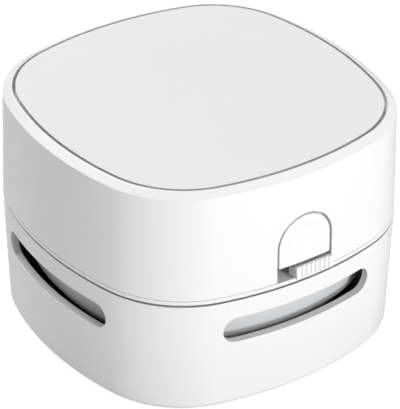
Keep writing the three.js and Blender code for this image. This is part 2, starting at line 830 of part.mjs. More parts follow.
function batteryCradle() {
  const top = cellAxis + cradleRise;
  const solids = signs.map((sign) => {
    const outer = prismAlongX(troughShape(troughOuter, top), -bayHalf - cradleSkin, bayHalf + cradleSkin, smallSides);
    return solid(outer.translate(0, sign * cellPlaceY, 0));
  });
  const bays = signs.map((sign) => {
    const inner = prismAlongX(troughShape(troughInner, top + overrun), -bayHalf, bayHalf, smallSides);
    return solid(inner.translate(0, sign * cellPlaceY, 0));
  });
  const web = block(
    -motorRadius - collarWall, motorRadius + collarWall, -cellPlaceY, cellPlaceY,
    cradleLow, cradleLow + webThickness);
  const motorHole = rod(
    motorRadius + motorGap, cradleLow - overrun, top + overrun, 0, 0, turnedSides);
  const legs = signs.flatMap((signX) => signs.map((signY) => rod(
    legRadius, rimTop, cradleLow + cradleSkin, signX * bayHalf * legShare, signY * cellPlaceY)));
  return cut(joined(...solids, web, ...legs), ...bays, motorHole);
}

// One cell; the nub points along the given sign of X
function batteryCell(sign, y) {
  const nubEnd = bayHalf - contactThickness;
  const bodyEnd = nubEnd - cellNubLength;
  const bodyStart = bodyEnd - cellLength;
  const body = lyingRod(cellRadius, bodyStart, bodyEnd, 0, 0, turnedSides / 2);
  const nub = lyingRod(cellNubRadius, bodyEnd - overrun, nubEnd - fitGap, 0, 0, smallSides);
  const groove = cut(
    lyingRod(cellRadius + overrun, bodyEnd - overrun, bodyEnd + overrun, 0, 0, turnedSides / 2),
    lyingRod(cellSealRadius, bodyEnd - 2 * overrun, bodyEnd + 2 * overrun, 0, 0, turnedSides / 2));
  const whole = joined(cut(body, groove), nub);
  return { whole, turn: sign > 0 ? 0 : Math.PI, place: new THREE.Vector3(0, y, cellAxis) };
}

// Flat contact that stands against an end wall of the bay
function contactPlate(sign, y) {
  const outside = sign * bayHalf;
  const inside = sign * (bayHalf - contactThickness);
  return block(
    Math.min(outside, inside), Math.max(outside, inside), y - contactWidth / 2, y + contactWidth / 2,
    cellAxis - contactWidth / 2, cellAxis + contactRise);
}

// Helix that narrows from the contact plate to the cell
class SpringPath extends THREE.Curve {
  getPoint(share, target = new THREE.Vector3()) {
    const angle = 2 * Math.PI * springTurns * share;
    const radius = springBigRadius + (springSmallRadius - springBigRadius) * share;
    const start = bayHalf - contactThickness - springWire;
    const length = springRoom - 2 * springWire;
    return target.set(start - length * share, radius * Math.cos(angle), radius * Math.sin(angle));
  }
}

function springGeometry() {
  const path = new SpringPath();
  const steps = springTurns * springStepsPerTurn;
  const rings = [];
  for (let step = 0; step <= steps; step += 1) {
    const share = step / steps;
    const centre = path.getPoint(share);
    const radial = new THREE.Vector3(0, centre.y, centre.z).normalize();
    const along = new THREE.Vector3(1, 0, 0);
    const ring = [];
    for (let side = 0; side < springWireSides; side += 1) {
      const angle = 2 * Math.PI * side / springWireSides;
      const point = centre.clone();
      point.addScaledVector(radial, springWire * Math.cos(angle));
      point.addScaledVector(along, springWire * Math.sin(angle));
      ring.push(point.toArray());
    }
    rings.push(ring);
  }
  const places = [];
  const face = (...corners) => corners.forEach((corner) => places.push(...corner));
  for (let step = 0; step < steps; step += 1) {
    for (let side = 0; side < springWireSides; side += 1) {
      const next = (side + 1) % springWireSides;
      face(rings[step][side], rings[step][next], rings[step + 1][next]);
      face(rings[step][side], rings[step + 1][next], rings[step + 1][side]);
    }
  }
  const ends = [rings[0], rings[steps]];
  ends.forEach((ring, end) => {
    for (let side = 1; side < springWireSides - 1; side += 1) {
      const pair = end === 0 ? [ring[side + 1], ring[side]] : [ring[side], ring[side + 1]];
      face(ring[0], ...pair);
    }
  });
  const geometry = new THREE.BufferGeometry();
  geometry.setAttribute('position', new THREE.BufferAttribute(new Float32Array(places), 3));
  return geometry;
}

// Least gap between neighbouring turns of the spring, measured on points of its centre line
function springSelfGap() {
  const path = new SpringPath();
  const perTurn = springStepsPerTurn * springWireSides;
  const points = [];
  for (let step = 0; step <= springTurns * perTurn; step += 1) {
    points.push(path.getPoint(step / (springTurns * perTurn)));
  }
  let least = Infinity;
  for (let first = 0; first < points.length; first += 1) {
    for (let second = first + perTurn / 2; second < points.length; second += 1) {
      least = Math.min(least, points[first].distanceTo(points[second]) - 2 * springWire);
    }
  }
  return least;
}

// Motor can, end cap, terminals and bush
const motorTop = rimTop + motorLength;
const motorCapTop = motorTop + motorCapHeight;
const shaftTop = motorCapTop + shaftProud;

function motorCan() {
  const can = rod(motorRadius, rimTop, motorTop, 0, 0, turnedSides);
  const bore = rod(shaftRadius + shaftGap, rimTop - overrun, motorTop + overrun, 0, 0, smallSides);
  const bushSeat = rod(bushRadius + fitGap, rimTop - overrun, rimTop + bushHeight / 2, 0, 0, roundSides);
  const holes = signs.map((sign) => rod(
    screwHole, rimTop - overrun, rimTop + motorScrewBite + screwTipGap, 0, sign * motorScrewPlace));
  return cut(can, bore, bushSeat, ...holes);
}

function motorCap() {
  const cap = rod(motorCapRadius, motorTop, motorCapTop, 0, 0, turnedSides);
  const bore = rod(shaftRadius + shaftGap, motorTop - overrun, motorCapTop + overrun, 0, 0, smallSides);
  return cut(cap, bore);
}

function shaftBush() {
  const ring = rod(bushRadius, rimTop + bushHeight / 2 - bushHeight, rimTop + bushHeight / 2, 0, 0, roundSides);
  return cut(ring, rod(shaftRadius + shaftGap, rimBottom - bushHeight, rimTop + bushHeight, 0, 0, smallSides));
}

function motorTerminal(sign) {
  const x = sign * terminalReach;
  return block(
    x - terminalThickness / 2, x + terminalThickness / 2, -terminalWidth / 2, terminalWidth / 2,
    motorCapTop, motorCapTop + terminalHeight);
}

// Impeller with backward-curved blades that lose height towards the tip
const discTop = rimBottom - impellerTopDrop;
const discLow = discTop - impellerDiscThickness;
const bladeEyeHeight = discLow - bowlBottom - bowlWall - impellerFloorGap;
const bladeTipHeight = bladeEyeHeight * bladeTipShare;

function bladeShape() {
  const centreLine = [];
  const tip = impellerRadius - bladeThickness;
  for (let step = 0; step <= bladeSteps; step += 1) {
    const share = step / bladeSteps;
    const radius = bladeRoot + (tip - bladeRoot) * share;
    const angle = bladeSweep * share ** 2 + bladeSweep * share / 2;
    centreLine.push(new THREE.Vector2(radius * Math.cos(angle), radius * Math.sin(angle)));
  }
  const across = centreLine.map((point, step) => {
    const before = centreLine[Math.max(step - 1, 0)];
    const after = centreLine[Math.min(step + 1, bladeSteps)];
    const along = after.clone().sub(before).normalize();
    return new THREE.Vector2(-along.y, along.x).multiplyScalar(bladeThickness / 2);
  });
  const left = centreLine.map((point, step) => point.clone().add(across[step]));
  const right = centreLine.map((point, step) => point.clone().sub(across[step])).reverse();
  return new THREE.Shape([...left, ...right]);
}

function impeller() {
  const depth = bladeEyeHeight + impellerDiscThickness / 2;
  const blade = new THREE.ExtrudeGeometry(bladeShape(), { depth, bevelEnabled: false });
  blade.translate(0, 0, discLow - bladeEyeHeight);
  const blades = [];
  for (let step = 0; step < bladeCount; step += 1) {
    blades.push(solid(blade.clone().rotateZ(2 * Math.PI * step / bladeCount)));
  }
  const envelope = turned([
    [0, discLow - bladeEyeHeight],
    [eyeRadius, discLow - bladeEyeHeight],
    [impellerRadius, discLow - bladeTipHeight],
    [impellerRadius, discTop],
    [0, discTop],
  ]);
  const disc = rod(impellerRadius, discLow, discTop, 0, 0, turnedSides);
  const hub = rod(hubRadius, discLow - bladeEyeHeight, discTop + hubRise, 0, 0, roundSides);
  const bore = rod(
    shaftRadius + shaftGap, discLow - bladeEyeHeight - overrun, discTop + hubRise + overrun, 0, 0, smallSides);
  return cut(joined(joined(...blades).intersect(envelope), disc, hub), bore);
}

function motorShaft() {
  return rod(shaftRadius, discLow - bladeEyeHeight + fitGap, shaftTop, 0, 0, smallSides);
}

addPiece('lower_housing', lowerHousing(), materials.shell);
addPiece('base_plate', basePlate(), materials.shell);
footPlaces().forEach(([x, y], index) => addPiece(`foot_${index + 1}`, foot(x, y), materials.rubber));
const strip = brushStrip();
['brush_front', 'brush_rear'].forEach((name, index) => {
  addPiece(name, strip, materials.bristle, new THREE.Vector3(0, signs[index] * brushPlace, 0));
});
postPlaces().forEach(([x, y], index) => {
  addPiece(
    `base_screw_${index + 1}`, screw(x, y, counterboreTop, baseTop + screwBite), materials.steel);
});
addPiece('filter_frame', filterFrame(), materials.black);
addPiece('filter_foam', filterFoam(), materials.foam);

addPiece('chassis_plate', chassisPlate(), materials.shell);
addPiece('upper_housing', upperHousing(), materials.shell);
addPiece('switch_bezel', switchBezel(), materials.shell);
addPiece('switch_body', switchBody(), materials.black);
addPiece('fan_bowl', fanBowl(), materials.inner);
earPlaces().forEach(([x, y], index) => {
  const headHigh = rimBottom - earThickness;
  addPiece(
    `housing_screw_${index + 1}`,
    screw(x, y, headHigh, upperBottom + bossHeight - 2 * screwTipGap),
    materials.steel);
});
signs.forEach((sign, index) => {
  addPiece(
    `motor_screw_${index + 1}`,
    screw(0, sign * motorScrewPlace, rimBottom, rimTop + motorScrewBite),
    materials.steel);
});
addPiece('motor_can', motorCan(), materials.steel);
addPiece('motor_cap', motorCap(), materials.black);
addPiece('shaft_bush', shaftBush(), materials.bronze);
addPiece('motor_terminal_1', motorTerminal(-1), materials.nickel);
addPiece('motor_terminal_2', motorTerminal(1), materials.nickel);

addPiece('battery_cradle', batteryCradle(), materials.inner);
signs.forEach((sign, index) => {
  const cell = batteryCell(sign, sign * cellPlaceY);
  const piece = addPiece(`battery_cell_${index + 1}`, cell.whole, materials.cell, cell.place);
  piece.rotation.z = cell.turn;
  addPiece(`contact_plus_${index + 1}`, contactPlate(sign, sign * cellPlaceY), materials.nickel);
  addPiece(`contact_minus_${index + 1}`, contactPlate(-sign, sign * cellPlaceY), materials.nickel);
  const spring = addPiece(`contact_spring_${index + 1}`, solid(springGeometry()), materials.nickel);
  spring.position.set(0, sign * cellPlaceY, cellAxis);
  spring.rotation.z = sign > 0 ? Math.PI : 0;
});

addPiece('slide_knob', slideKnob(), materials.shell);
addPiece('switch_lever', switchLever(), materials.black);
addPiece('motor_shaft', motorShaft(), materials.steel);
addPiece('impeller', impeller(), materials.black);
addPiece('top_panel', topPanel(), materials.panel);

console.log(`least gap between turns of the contact springs: ${springSelfGap().toFixed(2)} mm`);

export default cleaner;
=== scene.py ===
# %% [markdown]
# # A desktop mini vacuum cleaner, dressed for its portrait
#
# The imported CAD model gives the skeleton: five bodies that move against each other, and solids that
# are right in size but plain. This lesson puts the visible mouldings over them, with fine rounds,
# real screw heads, bristles and springs, and gives every piece the finish of its real material.
# The first step is to load that model, because every later piece rides on one of its bodies.

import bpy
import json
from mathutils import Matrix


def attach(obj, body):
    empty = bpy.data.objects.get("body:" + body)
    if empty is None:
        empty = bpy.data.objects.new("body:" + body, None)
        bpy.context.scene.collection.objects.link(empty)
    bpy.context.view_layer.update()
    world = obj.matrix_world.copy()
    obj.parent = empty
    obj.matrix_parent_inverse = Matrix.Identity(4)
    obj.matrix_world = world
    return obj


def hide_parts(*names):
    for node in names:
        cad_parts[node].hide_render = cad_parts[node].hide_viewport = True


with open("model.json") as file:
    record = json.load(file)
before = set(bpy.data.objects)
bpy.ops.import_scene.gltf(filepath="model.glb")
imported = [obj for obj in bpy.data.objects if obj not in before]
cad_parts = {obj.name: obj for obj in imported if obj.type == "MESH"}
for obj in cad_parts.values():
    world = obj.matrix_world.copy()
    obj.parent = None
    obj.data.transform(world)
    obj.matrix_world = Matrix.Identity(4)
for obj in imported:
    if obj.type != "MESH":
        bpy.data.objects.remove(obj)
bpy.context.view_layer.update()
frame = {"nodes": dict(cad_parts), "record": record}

# %% [markdown]
# Blender works in metres, and a cleaner this small is easier to draw in millimetres. So every mesh
# below is drawn in millimetres, gets its modifiers at that size, and is scaled into metres at the
# moment it becomes a finished piece.

# %% Modules and the unit
import json
import math

import bmesh
import bpy
from mathutils import Matrix, Quaternion, Vector

MM = 0.001
signs = (-1, 1)
quarter_turns = [quarter * math.pi / 2 for quarter in range(4)]


def corners_at(x, y):
    """The four places at plus and minus x and y."""
    return [(sign_x * x, sign_y * y) for sign_x in signs for sign_y in signs]


def numbered(name, count):
    return [f"{name}_{number}" for number in range(1, count + 1)]


print("one unit is", MM, "m")

# %% [markdown]
# ## Camera
#
# The photograph was taken with a long lens, from the front left and about 32 degrees above the
# table. A camera was fitted to the outlines of the cover, the seam and the foot of the body. The
# small shift stands for a picture that was cropped a little off centre, and the small roll for a
# camera that was not quite level.

# %% Camera
photo_height = 409
aim_height = 30.0
camera_azimuth = math.radians(-35.2586)
camera_elevation = math.radians(32.1061)
camera_distance = 610.318
camera_roll = math.radians(0.633)
lens_length = 226.2
sensor_side = 36.0
shift_right = 2.288 / photo_height
shift_down = -7.955 / photo_height
nearest_metres = 0.01
farthest_metres = 20

camera_data = bpy.data.cameras.new("camera")
camera_data.sensor_fit = "AUTO"
camera_data.sensor_width = sensor_side
camera_data.lens = lens_length
camera_data.shift_x = shift_right
camera_data.shift_y = shift_down
camera_data.clip_start = nearest_metres
camera_data.clip_end = farthest_metres

camera = bpy.data.objects.new("camera", camera_data)
bpy.context.collection.objects.link(camera)
backwards = Vector((
    math.sin(camera_azimuth) * math.cos(camera_elevation),
    -math.cos(camera_azimuth) * math.cos(camera_elevation),
    math.sin(camera_elevation)))
camera.location = (Vector((0, 0, aim_height)) + backwards * camera_distance) * MM
camera.rotation_mode = "QUATERNION"
level_turn = (-backwards).to_track_quat("-Z", "Y")
camera.rotation_quaternion = level_turn @ Quaternion((0, 0, 1), camera_roll)
bpy.context.scene.camera = camera
print("camera at", [round(value, 4) for value in camera.location])

# %% [markdown]
# ## Node helper and colour
#
# A material is a small network of nodes. One helper adds a node, sets its values and connects its
# inputs, which keeps each recipe short enough to read. Colours are written as the sRGB hex values
# that a colour picker shows, and one function turns them into the linear values that Blender uses.

# %% Node helper and colour
def add_node(tree, kind, settings=None, links=None):
    """Adds a node, sets inputs or properties by name, and links inputs to sockets or other nodes.

    A node that is given as a source stands for its first output.
    """
    node = tree.nodes.new(kind)
    for name, value in (settings or {}).items():
        if isinstance(name, str) and hasattr(node, name):
            setattr(node, name, value)
        else:
            node.inputs[name].default_value = value
    for name, source in (links or {}).items():
        socket = source if isinstance(source, bpy.types.NodeSocket) else source.outputs[0]
        tree.links.new(socket, node.inputs[name])
    return node


def linear(hex_colour):
    """The standard sRGB curve, undone for each channel."""
    channels = [int(hex_colour[place:place + 2], 16) / 255 for place in (1, 3, 5)]
    bent = [
        value / 12.92 if value <= 0.04045 else ((value + 0.055) / 1.055) ** 2.4
        for value in channels]
    return (*bent, 1.0)


def per_metre(length_mm):
    """Texture scale at which one feature of a noise is about this many millimetres wide."""
    return 1 / (length_mm * MM)


print("mid grey is", round(linear("#808080")[0], 3), "in linear light")

# %% [markdown]
# ## Finishes
#
# Most pieces are moulded plastic, and moulded plastic is never one flat colour: it sinks a little,
# its gloss drifts, and the steel of the mould leaves a fine grain. A shared start gives each
# material its coordinates and its shader, and every recipe then adds what its real material shows.
# Tint comes from a slow noise between two near colours, gloss from a second noise, and grain from a
# bump whose height is given in millimetres.

# %% Shared parts of a finish
noise = "ShaderNodeTexNoise"
cells = "ShaderNodeTexVoronoi"
noise_span = (0.2, 0.8)
drift_detail = 3.0


def start_finish(name, shader_settings):
    """Gives a material and its finish: the node tree, the coordinates and the shader."""
    material = bpy.data.materials.new(name)
    material.use_nodes = True
    tree = material.node_tree
    tree.nodes.clear()
    where = add_node(tree, "ShaderNodeTexCoord").outputs["Object"]
    shader = add_node(tree, "ShaderNodeBsdfPrincipled", shader_settings)
    add_node(tree, "ShaderNodeOutputMaterial", None, {"Surface": shader})
    return material, (tree, where, shader)


def tint(finish, size_mm, darker, lighter, detail=2.0, span=noise_span, pattern=noise):
    """Lets the colour drift between two near tints, or across the cells of a pattern."""
    tree, where, shader = finish
    drift = add_node(tree, pattern, {"Scale": per_metre(size_mm), "Detail": detail}, {"Vector": where})
    ramp = add_node(tree, "ShaderNodeValToRGB", None, {"Fac": drift})
    for stop, position, colour in zip(ramp.color_ramp.elements, span, (darker, lighter)):
        stop.position = position
        stop.color = linear(colour)
    tree.links.new(ramp.outputs["Color"], shader.inputs["Base Color"])


def gloss_drift(finish, size_mm, smoothest, roughest):
    """Lets the roughness drift between two values."""
    tree, where, shader = finish
    drift = add_node(tree, noise, {"Scale": per_metre(size_mm), "Detail": drift_detail}, {"Vector": where})
    roughness = add_node(
        tree, "ShaderNodeMapRange",
        {"From Min": noise_span[0], "From Max": noise_span[1], "To Min": smoothest, "To Max": roughest},
        {"Value": drift})
    tree.links.new(roughness.outputs["Result"], shader.inputs["Roughness"])


def relief(finish, size_mm, height_mm, detail=2.0, pattern=noise):
    """Raises the surface by a fine noise or by cells: peel, grain, ripple or pores."""
    tree, where, shader = finish
    heights = add_node(tree, pattern, {"Scale": per_metre(size_mm), "Detail": detail}, {"Vector": where})
    bump = add_node(
        tree, "ShaderNodeBump", {"Strength": 1.0, "Distance": height_mm * MM}, {"Height": heights})
    tree.links.new(bump.outputs["Normal"], shader.inputs["Normal"])


print("noise is stretched from", noise_span, "to the whole range")

# %% Gloss white ABS
# Injection moulded in a polished mould: a soft clear shine with a slight waviness, like orange peel.
gloss_white_abs, finish = start_finish(
    "gloss white ABS", {"IOR": 1.54, "Specular IOR Level": 0.5, "Roughness": 0.3})
tint(finish, 30.0, "#F1F1F1", "#F3F3F3", detail=0.0)
gloss_drift(finish, 14.0, 0.28, 0.31)
relief(finish, 0.6, 0.0006, detail=1.0)

# %% Satin cover ABS
# The mould is spark eroded, which leaves a fine matt grain of about a tenth of a millimetre. It is
# drawn at 0.35 mm here, because a finer grain would vanish between two pixels.
satin_cover_abs, finish = start_finish(
    "satin cover ABS", {"IOR": 1.54, "Specular IOR Level": 0.4, "Roughness": 0.5})
tint(finish, 30.0, "#ECECED", "#EEEEEF")
gloss_drift(finish, 9.0, 0.46, 0.54)
relief(finish, 0.35, 0.006)

# %% Gloss grey ABS
# The fan bowl is moulded in light grey and keeps the full gloss of its mould.
gloss_grey_abs, finish = start_finish("gloss grey ABS", {"IOR": 1.54, "Roughness": 0.16})
tint(finish, 12.0, "#CBCCCE", "#D0D1D2")
gloss_drift(finish, 5.0, 0.12, 0.2)
relief(finish, 1.8, 0.005, detail=1.0)

# %% Natural white ABS
# The battery cradle is never seen in use, so it stays as it left an unpolished mould: satin, with
# faint flow marks along its length.
natural_white_abs, finish = start_finish("natural white ABS", {"IOR": 1.54, "Roughness": 0.45})
tree, where, shader = finish
along = add_node(tree, "ShaderNodeMapping", {"Scale": (0.25, 1.0, 1.0)}, {"Vector": where})
tint((tree, along, shader), 5.0, "#DEDDD8", "#E8E7E3")
gloss_drift(finish, 4.0, 0.4, 0.52)
relief(finish, 0.4, 0.01)

# %% Black ABS
# Impeller, filter frame, motor cap and switch are carbon-filled ABS with an eroded grain, which
# breaks up the highlights.
black_abs, finish = start_finish("black ABS", {"IOR": 1.54, "Roughness": 0.42})
tint(finish, 8.0, "#1B1B1D", "#242426")
gloss_drift(finish, 3.0, 0.36, 0.5)
relief(finish, 0.3, 0.012, detail=3.0)

# %% Open-cell foam
# The filter is reticulated polyurethane foam: a web of struts round pores of about a millimetre.
# Voronoi cells give the pores, deeper in their middles, and painted shade makes those middles darker than
# the struts.
open_cell_foam, finish = start_finish(
    "open-cell foam", {"IOR": 1.45, "Roughness": 0.95, "Specular IOR Level": 0.2})
# The dark end of this tint is painted shade in the pore middles; the light end is the grey of the struts.
tint(finish, 1.1, "#121213", "#4A4A4C", detail=0.0, span=(0.1, 0.6), pattern=cells)
relief(finish, 1.1, 0.6, detail=0.0, pattern=cells)

# %% Foot rubber
# Nitrile rubber, moulded dull, with a dusty bloom of slightly paler spots.
foot_rubber, finish = start_finish(
    "foot rubber", {"IOR": 1.52, "Roughness": 0.8, "Specular IOR Level": 0.35})
tint(finish, 1.6, "#343436", "#434345", detail=4.0)
relief(finish, 0.35, 0.03, detail=4.0)

# %% Drawn nylon
# Bristles are drawn filaments: smooth along their length, slightly see-through, near black here.
drawn_nylon, finish = start_finish("drawn nylon", {"IOR": 1.53, "Roughness": 0.35})
tint(finish, 0.5, "#1E1E20", "#38383A")

# %% Zinc-plated steel
# Screws are cold headed and zinc plated: a bright grey with a blue cast and a fine crystal bloom.
zinc_steel, finish = start_finish("zinc-plated steel", {"Metallic": 1.0, "Roughness": 0.32})
tint(finish, 0.8, "#B4B9C0", "#CED2D6", detail=3.0)
gloss_drift(finish, 0.5, 0.24, 0.42)

# %% Drawn steel
# The motor can is deep drawn, so fine lines run up its side. Stretching the noise along Z makes them.
drawn_steel, finish = start_finish("drawn steel", {"Metallic": 1.0, "Roughness": 0.3})
tree, where, shader = finish
stretched = add_node(tree, "ShaderNodeMapping", {"Scale": (1.0, 1.0, 0.04)}, {"Vector": where})
finish = (tree, stretched, shader)
tint(finish, 0.6, "#B5B6B8", "#CFD0D1", detail=3.0)
gloss_drift(finish, 0.4, 0.22, 0.38)

# %% Sintered bronze
# The bush is pressed powder, so it is full of tiny pores that hold oil.
sintered_bronze, finish = start_finish("sintered bronze", {"Metallic": 1.0, "Roughness": 0.5})
tint(finish, 0.35, "#8E6A42", "#B98D58", detail=4.0)
relief(finish, 0.3, 0.04, detail=0.0, pattern=cells)

# %% Nickel plate
# Contacts and springs are nickel plated: a warm, bright metal with soft cloudy gloss.
nickel_plate, finish = start_finish("nickel plate", {"Metallic": 1.0, "Roughness": 0.2})
tint(finish, 1.5, "#C9C5BC", "#DAD7CF")
gloss_drift(finish, 0.8, 0.14, 0.28)

# %% Cell jacket
# An AA cell wears a printed shrink film. Here it stays plain, satin and slate blue, with the slight
# ripple that shrinking leaves.
shrink_film, finish = start_finish(
    "shrink film", {"IOR": 1.5, "Roughness": 0.3, "Coat Weight": 0.4, "Coat Roughness": 0.15})
tint(finish, 7.0, "#3C4A58", "#445362")
relief(finish, 1.6, 0.02)

# %% Finish of each slot
finish_of_slot = {
    "shell_white": gloss_white_abs,
    "panel_grey": satin_cover_abs,
    "bowl_grey": gloss_grey_abs,
    "cradle_white": natural_white_abs,
    "black_plastic": black_abs,
    "filter_foam": open_cell_foam,
    "foot_rubber": foot_rubber,
    "bristle_nylon": drawn_nylon,
    "screw_steel": zinc_steel,
    "motor_steel": drawn_steel,
    "bush_bronze": sintered_bronze,
    "contact_nickel": nickel_plate,
    "cell_jacket": shrink_film,
}
print(len(bpy.data.materials), "materials")

# %% [markdown]
# ## Drawing helpers
#
# The body is a rounded square with bowed sides: four wide arcs and four tighter corner arcs that
# meet without a kink. Every shell of the cleaner is this outline, moved inwards and upwards, so one
# function gives the outline at any inset, and two more skin a run of such rings.

# %% Outline of the body
body_half = 42.5
side_bow_radius = 83.7
corner_radius = 25.6
side_steps = 24
corner_steps = 24


def rounded_square(half, bow_radius, arc_radius, inset):
    """Points of a rounded square with bowed sides, moved inwards by an inset."""
    side_centre = half - bow_radius
    reach = bow_radius - arc_radius
    corner_centre = (2 * side_centre + math.sqrt(8 * reach ** 2 - 4 * side_centre ** 2)) / 4
    sweep = math.atan2(corner_centre, corner_centre - side_centre)
    bow = bow_radius - inset
    corner = arc_radius - inset
    points = []
    for turn in quarter_turns:
        turned_by = Matrix.Rotation(turn, 2)
        for step in range(side_steps):
            angle = sweep * (2 * step / side_steps - 1)
            points.append(turned_by @ Vector((side_centre + bow * math.cos(angle), bow * math.sin(angle))))
        for step in range(corner_steps):
            angle = sweep + (math.pi / 2 - 2 * sweep) * step / corner_steps
            points.append(turned_by @ Vector((
                corner_centre + corner * math.cos(angle), corner_centre + corner * math.sin(angle))))
    return points


def body_plan(inset):
    return rounded_square(body_half, side_bow_radius, corner_radius, inset)


width = 2 * max(point.x for point in body_plan(0))
print("outline of", len(body_plan(0)), "points,", round(width, 2), "mm wide")

# %% [markdown]
# Three kinds of start mesh are enough for most parts: rings of the body outline, turned forms, and
# straight prisms. A closed run of rings is a hollow band, an open one is a plate. Plugs and tubes are
# short turned forms, and blocks are prisms. A cutter runs a little past the face that it cuts.

# %% Start meshes
past = 1.0
round_sides = 40
doubled_within = 0.0005
axis_order = {"x": (2, 0, 1), "y": (0, 2, 1), "z": (0, 1, 2)}


def draw(name, vertices, faces):
    mesh = bpy.data.meshes.new(name)
    mesh.from_pydata([tuple(vertex) for vertex in vertices], [], faces)
    mesh.update()
    drawn = bpy.data.objects.new(name, mesh)
    bpy.context.collection.objects.link(drawn)
    return drawn


def rings_of_body(name, pairs, closed, plan=body_plan):
    """Skins rings of an outline, one for each pair of inset and height."""
    rings = [[(p.x, p.y, height) for p in plan(inset)] for inset, height in pairs]
    count = len(rings[0])
    faces = []
    for level in range(len(rings) if closed else len(rings) - 1):
        low = level * count
        high = (level + 1) % len(rings) * count
        for side in range(count):
            after = (side + 1) % count
            faces.append((low + side, low + after, high + after, high + side))
    if not closed:
        faces.append(tuple(reversed(range(count))))
        faces.append(tuple(range((len(rings) - 1) * count, len(rings) * count)))
    return draw(name, [vertex for ring in rings for vertex in ring], faces)


def turned(name, pairs, sides, closed=False):
    """Turns pairs of radius and height round Z; a radius of zero closes on the axis."""
    vertices = []
    rows = []
    for radius, height in pairs:
        if radius == 0:
            rows.append([len(vertices)] * sides)
            vertices.append((0, 0, height))
            continue
        rows.append(list(range(len(vertices), len(vertices) + sides)))
        for side in range(sides):
            angle = 2 * math.pi * side / sides
            vertices.append((radius * math.cos(angle), radius * math.sin(angle), height))
    faces = []
    for level in range(len(rows) if closed else len(rows) - 1):
        low = rows[level]
        high = rows[(level + 1) % len(rows)]
        for side in range(sides):
            after = (side + 1) % sides
            corners = [low[side], low[after], high[after], high[side]]
            faces.append(tuple(dict.fromkeys(corners)))
    return draw(name, vertices, faces)


def plug(radius, low, high, x=0, y=0, sides=round_sides):
    """Upright round plug, as a solid or as a cutter."""
    return moved(turned("plug", [(0, low), (radius, low), (radius, high), (0, high)], sides), (x, y, 0))


def tube(inside, outside, low, high, sides):
    section = [(inside, low), (outside, low), (outside, high), (inside, high)]
    return turned("tube", section, sides, closed=True)


def prism(name, outline, start, end, along):
    """Runs an outline in the other two axes from one place to another along an axis."""
    count = len(outline)
    vertices = [
        [(u, v, depth)[index] for index in axis_order[along]] for depth in (start, end) for u, v in outline]
    faces = []
    for side in range(count):
        after = (side + 1) % count
        faces.append((side, after, count + after, count + side))
    faces.append(tuple(reversed(range(count))))
    faces.append(tuple(range(count, 2 * count)))
    drawn = draw(name, vertices, faces)
    face_out(drawn)
    return drawn


def box_between(name, low, high):
    corners = [(low[0], low[1]), (high[0], low[1]), (high[0], high[1]), (low[0], high[1])]
    return prism(name, corners, low[2], high[2], "z")


def block(x, y, length, width, low, high):
    """Upright block with its middle at x and y."""
    return box_between("block", (x - length / 2, y - width / 2, low), (x + length / 2, y + width / 2, high))


def face_out(drawn):
    """Merges doubled points and turns every face outwards."""
    work = bmesh.new()
    work.from_mesh(drawn.data)
    bmesh.ops.remove_doubles(work, verts=work.verts, dist=doubled_within)
    bmesh.ops.recalc_face_normals(work, faces=work.faces)
    work.to_mesh(drawn.data)
    work.free()


def arc(centre, radius, start, end, steps):
    """Points on an arc, angles in degrees."""
    angles = [math.radians(start + (end - start) * step / steps) for step in range(steps + 1)]
    return [(centre[0] + radius * math.cos(a), centre[1] + radius * math.sin(a)) for a in angles]


print("start meshes: rings, turned forms and prisms")

# %% [markdown]
# A moulding is never sharp. Cuts are made with the exact Boolean, tiny leftover edges are welded,
# every edge over 25 degrees gets a small round, and weighted normals keep the large faces flat
# beside it. The result is copied off the modifiers and scaled into metres.

# %% Cutting, rounding and finishing
round_steps = 3
weld_distance = 0.03
round_from_angle = math.radians(25)
face_weight = 100
broad_round = 0.2
shell_round = 0.15
small_round = 0.12
edge_round = 0.1
fine_round = 0.05


def cut_with(drawn, *cutters, union=False):
    for cutter in cutters:
        boolean = drawn.modifiers.new("cut", "BOOLEAN")
        boolean.operation = "UNION" if union else "DIFFERENCE"
        boolean.solver = "EXACT"
        boolean.object = cutter
        cutter.hide_render = True
    plain = copied_mesh(drawn)
    drawn.modifiers.clear()
    drawn.data = plain
    for cutter in cutters:
        bpy.data.objects.remove(cutter)
    return drawn


def copied_mesh(drawn):
    bpy.context.view_layer.update()
    graph = bpy.context.evaluated_depsgraph_get()
    return bpy.data.meshes.new_from_object(
        drawn.evaluated_get(graph), preserve_all_data_layers=True, depsgraph=graph)


def rounded(drawn, width):
    weld = drawn.modifiers.new("weld", "WELD")
    weld.merge_threshold = weld_distance
    bevel = drawn.modifiers.new("round", "BEVEL")
    bevel.width = width
    bevel.segments = round_steps
    bevel.limit_method = "ANGLE"
    bevel.angle_limit = round_from_angle
    bevel.use_clamp_overlap = False
    bevel.miter_outer = "MITER_SHARP"
    drawn.data.polygons.foreach_set("use_smooth", [True] * len(drawn.data.polygons))
    return drawn


def soften(drawn, angle=35):
    """Smooth faces with sharp edges kept, for forms that need no round."""
    drawn.data.polygons.foreach_set("use_smooth", [True] * len(drawn.data.polygons))
    drawn.data.set_sharp_from_angle(angle=math.radians(angle))
    return drawn


def moved(drawn, place, turn=0.0):
    drawn.data.transform(Matrix.Translation(Vector(place)) @ Matrix.Rotation(turn, 4, "Z"))
    return drawn


def joined_parts(name, drawn_parts):
    """Joins drawn parts, with their modifiers applied, into one."""
    work = bmesh.new()
    for drawn in drawn_parts:
        work.from_mesh(copied_mesh(drawn))
        bpy.data.objects.remove(drawn)
    whole = draw(name, [], [])
    work.to_mesh(whole.data)
    work.free()
    return whole


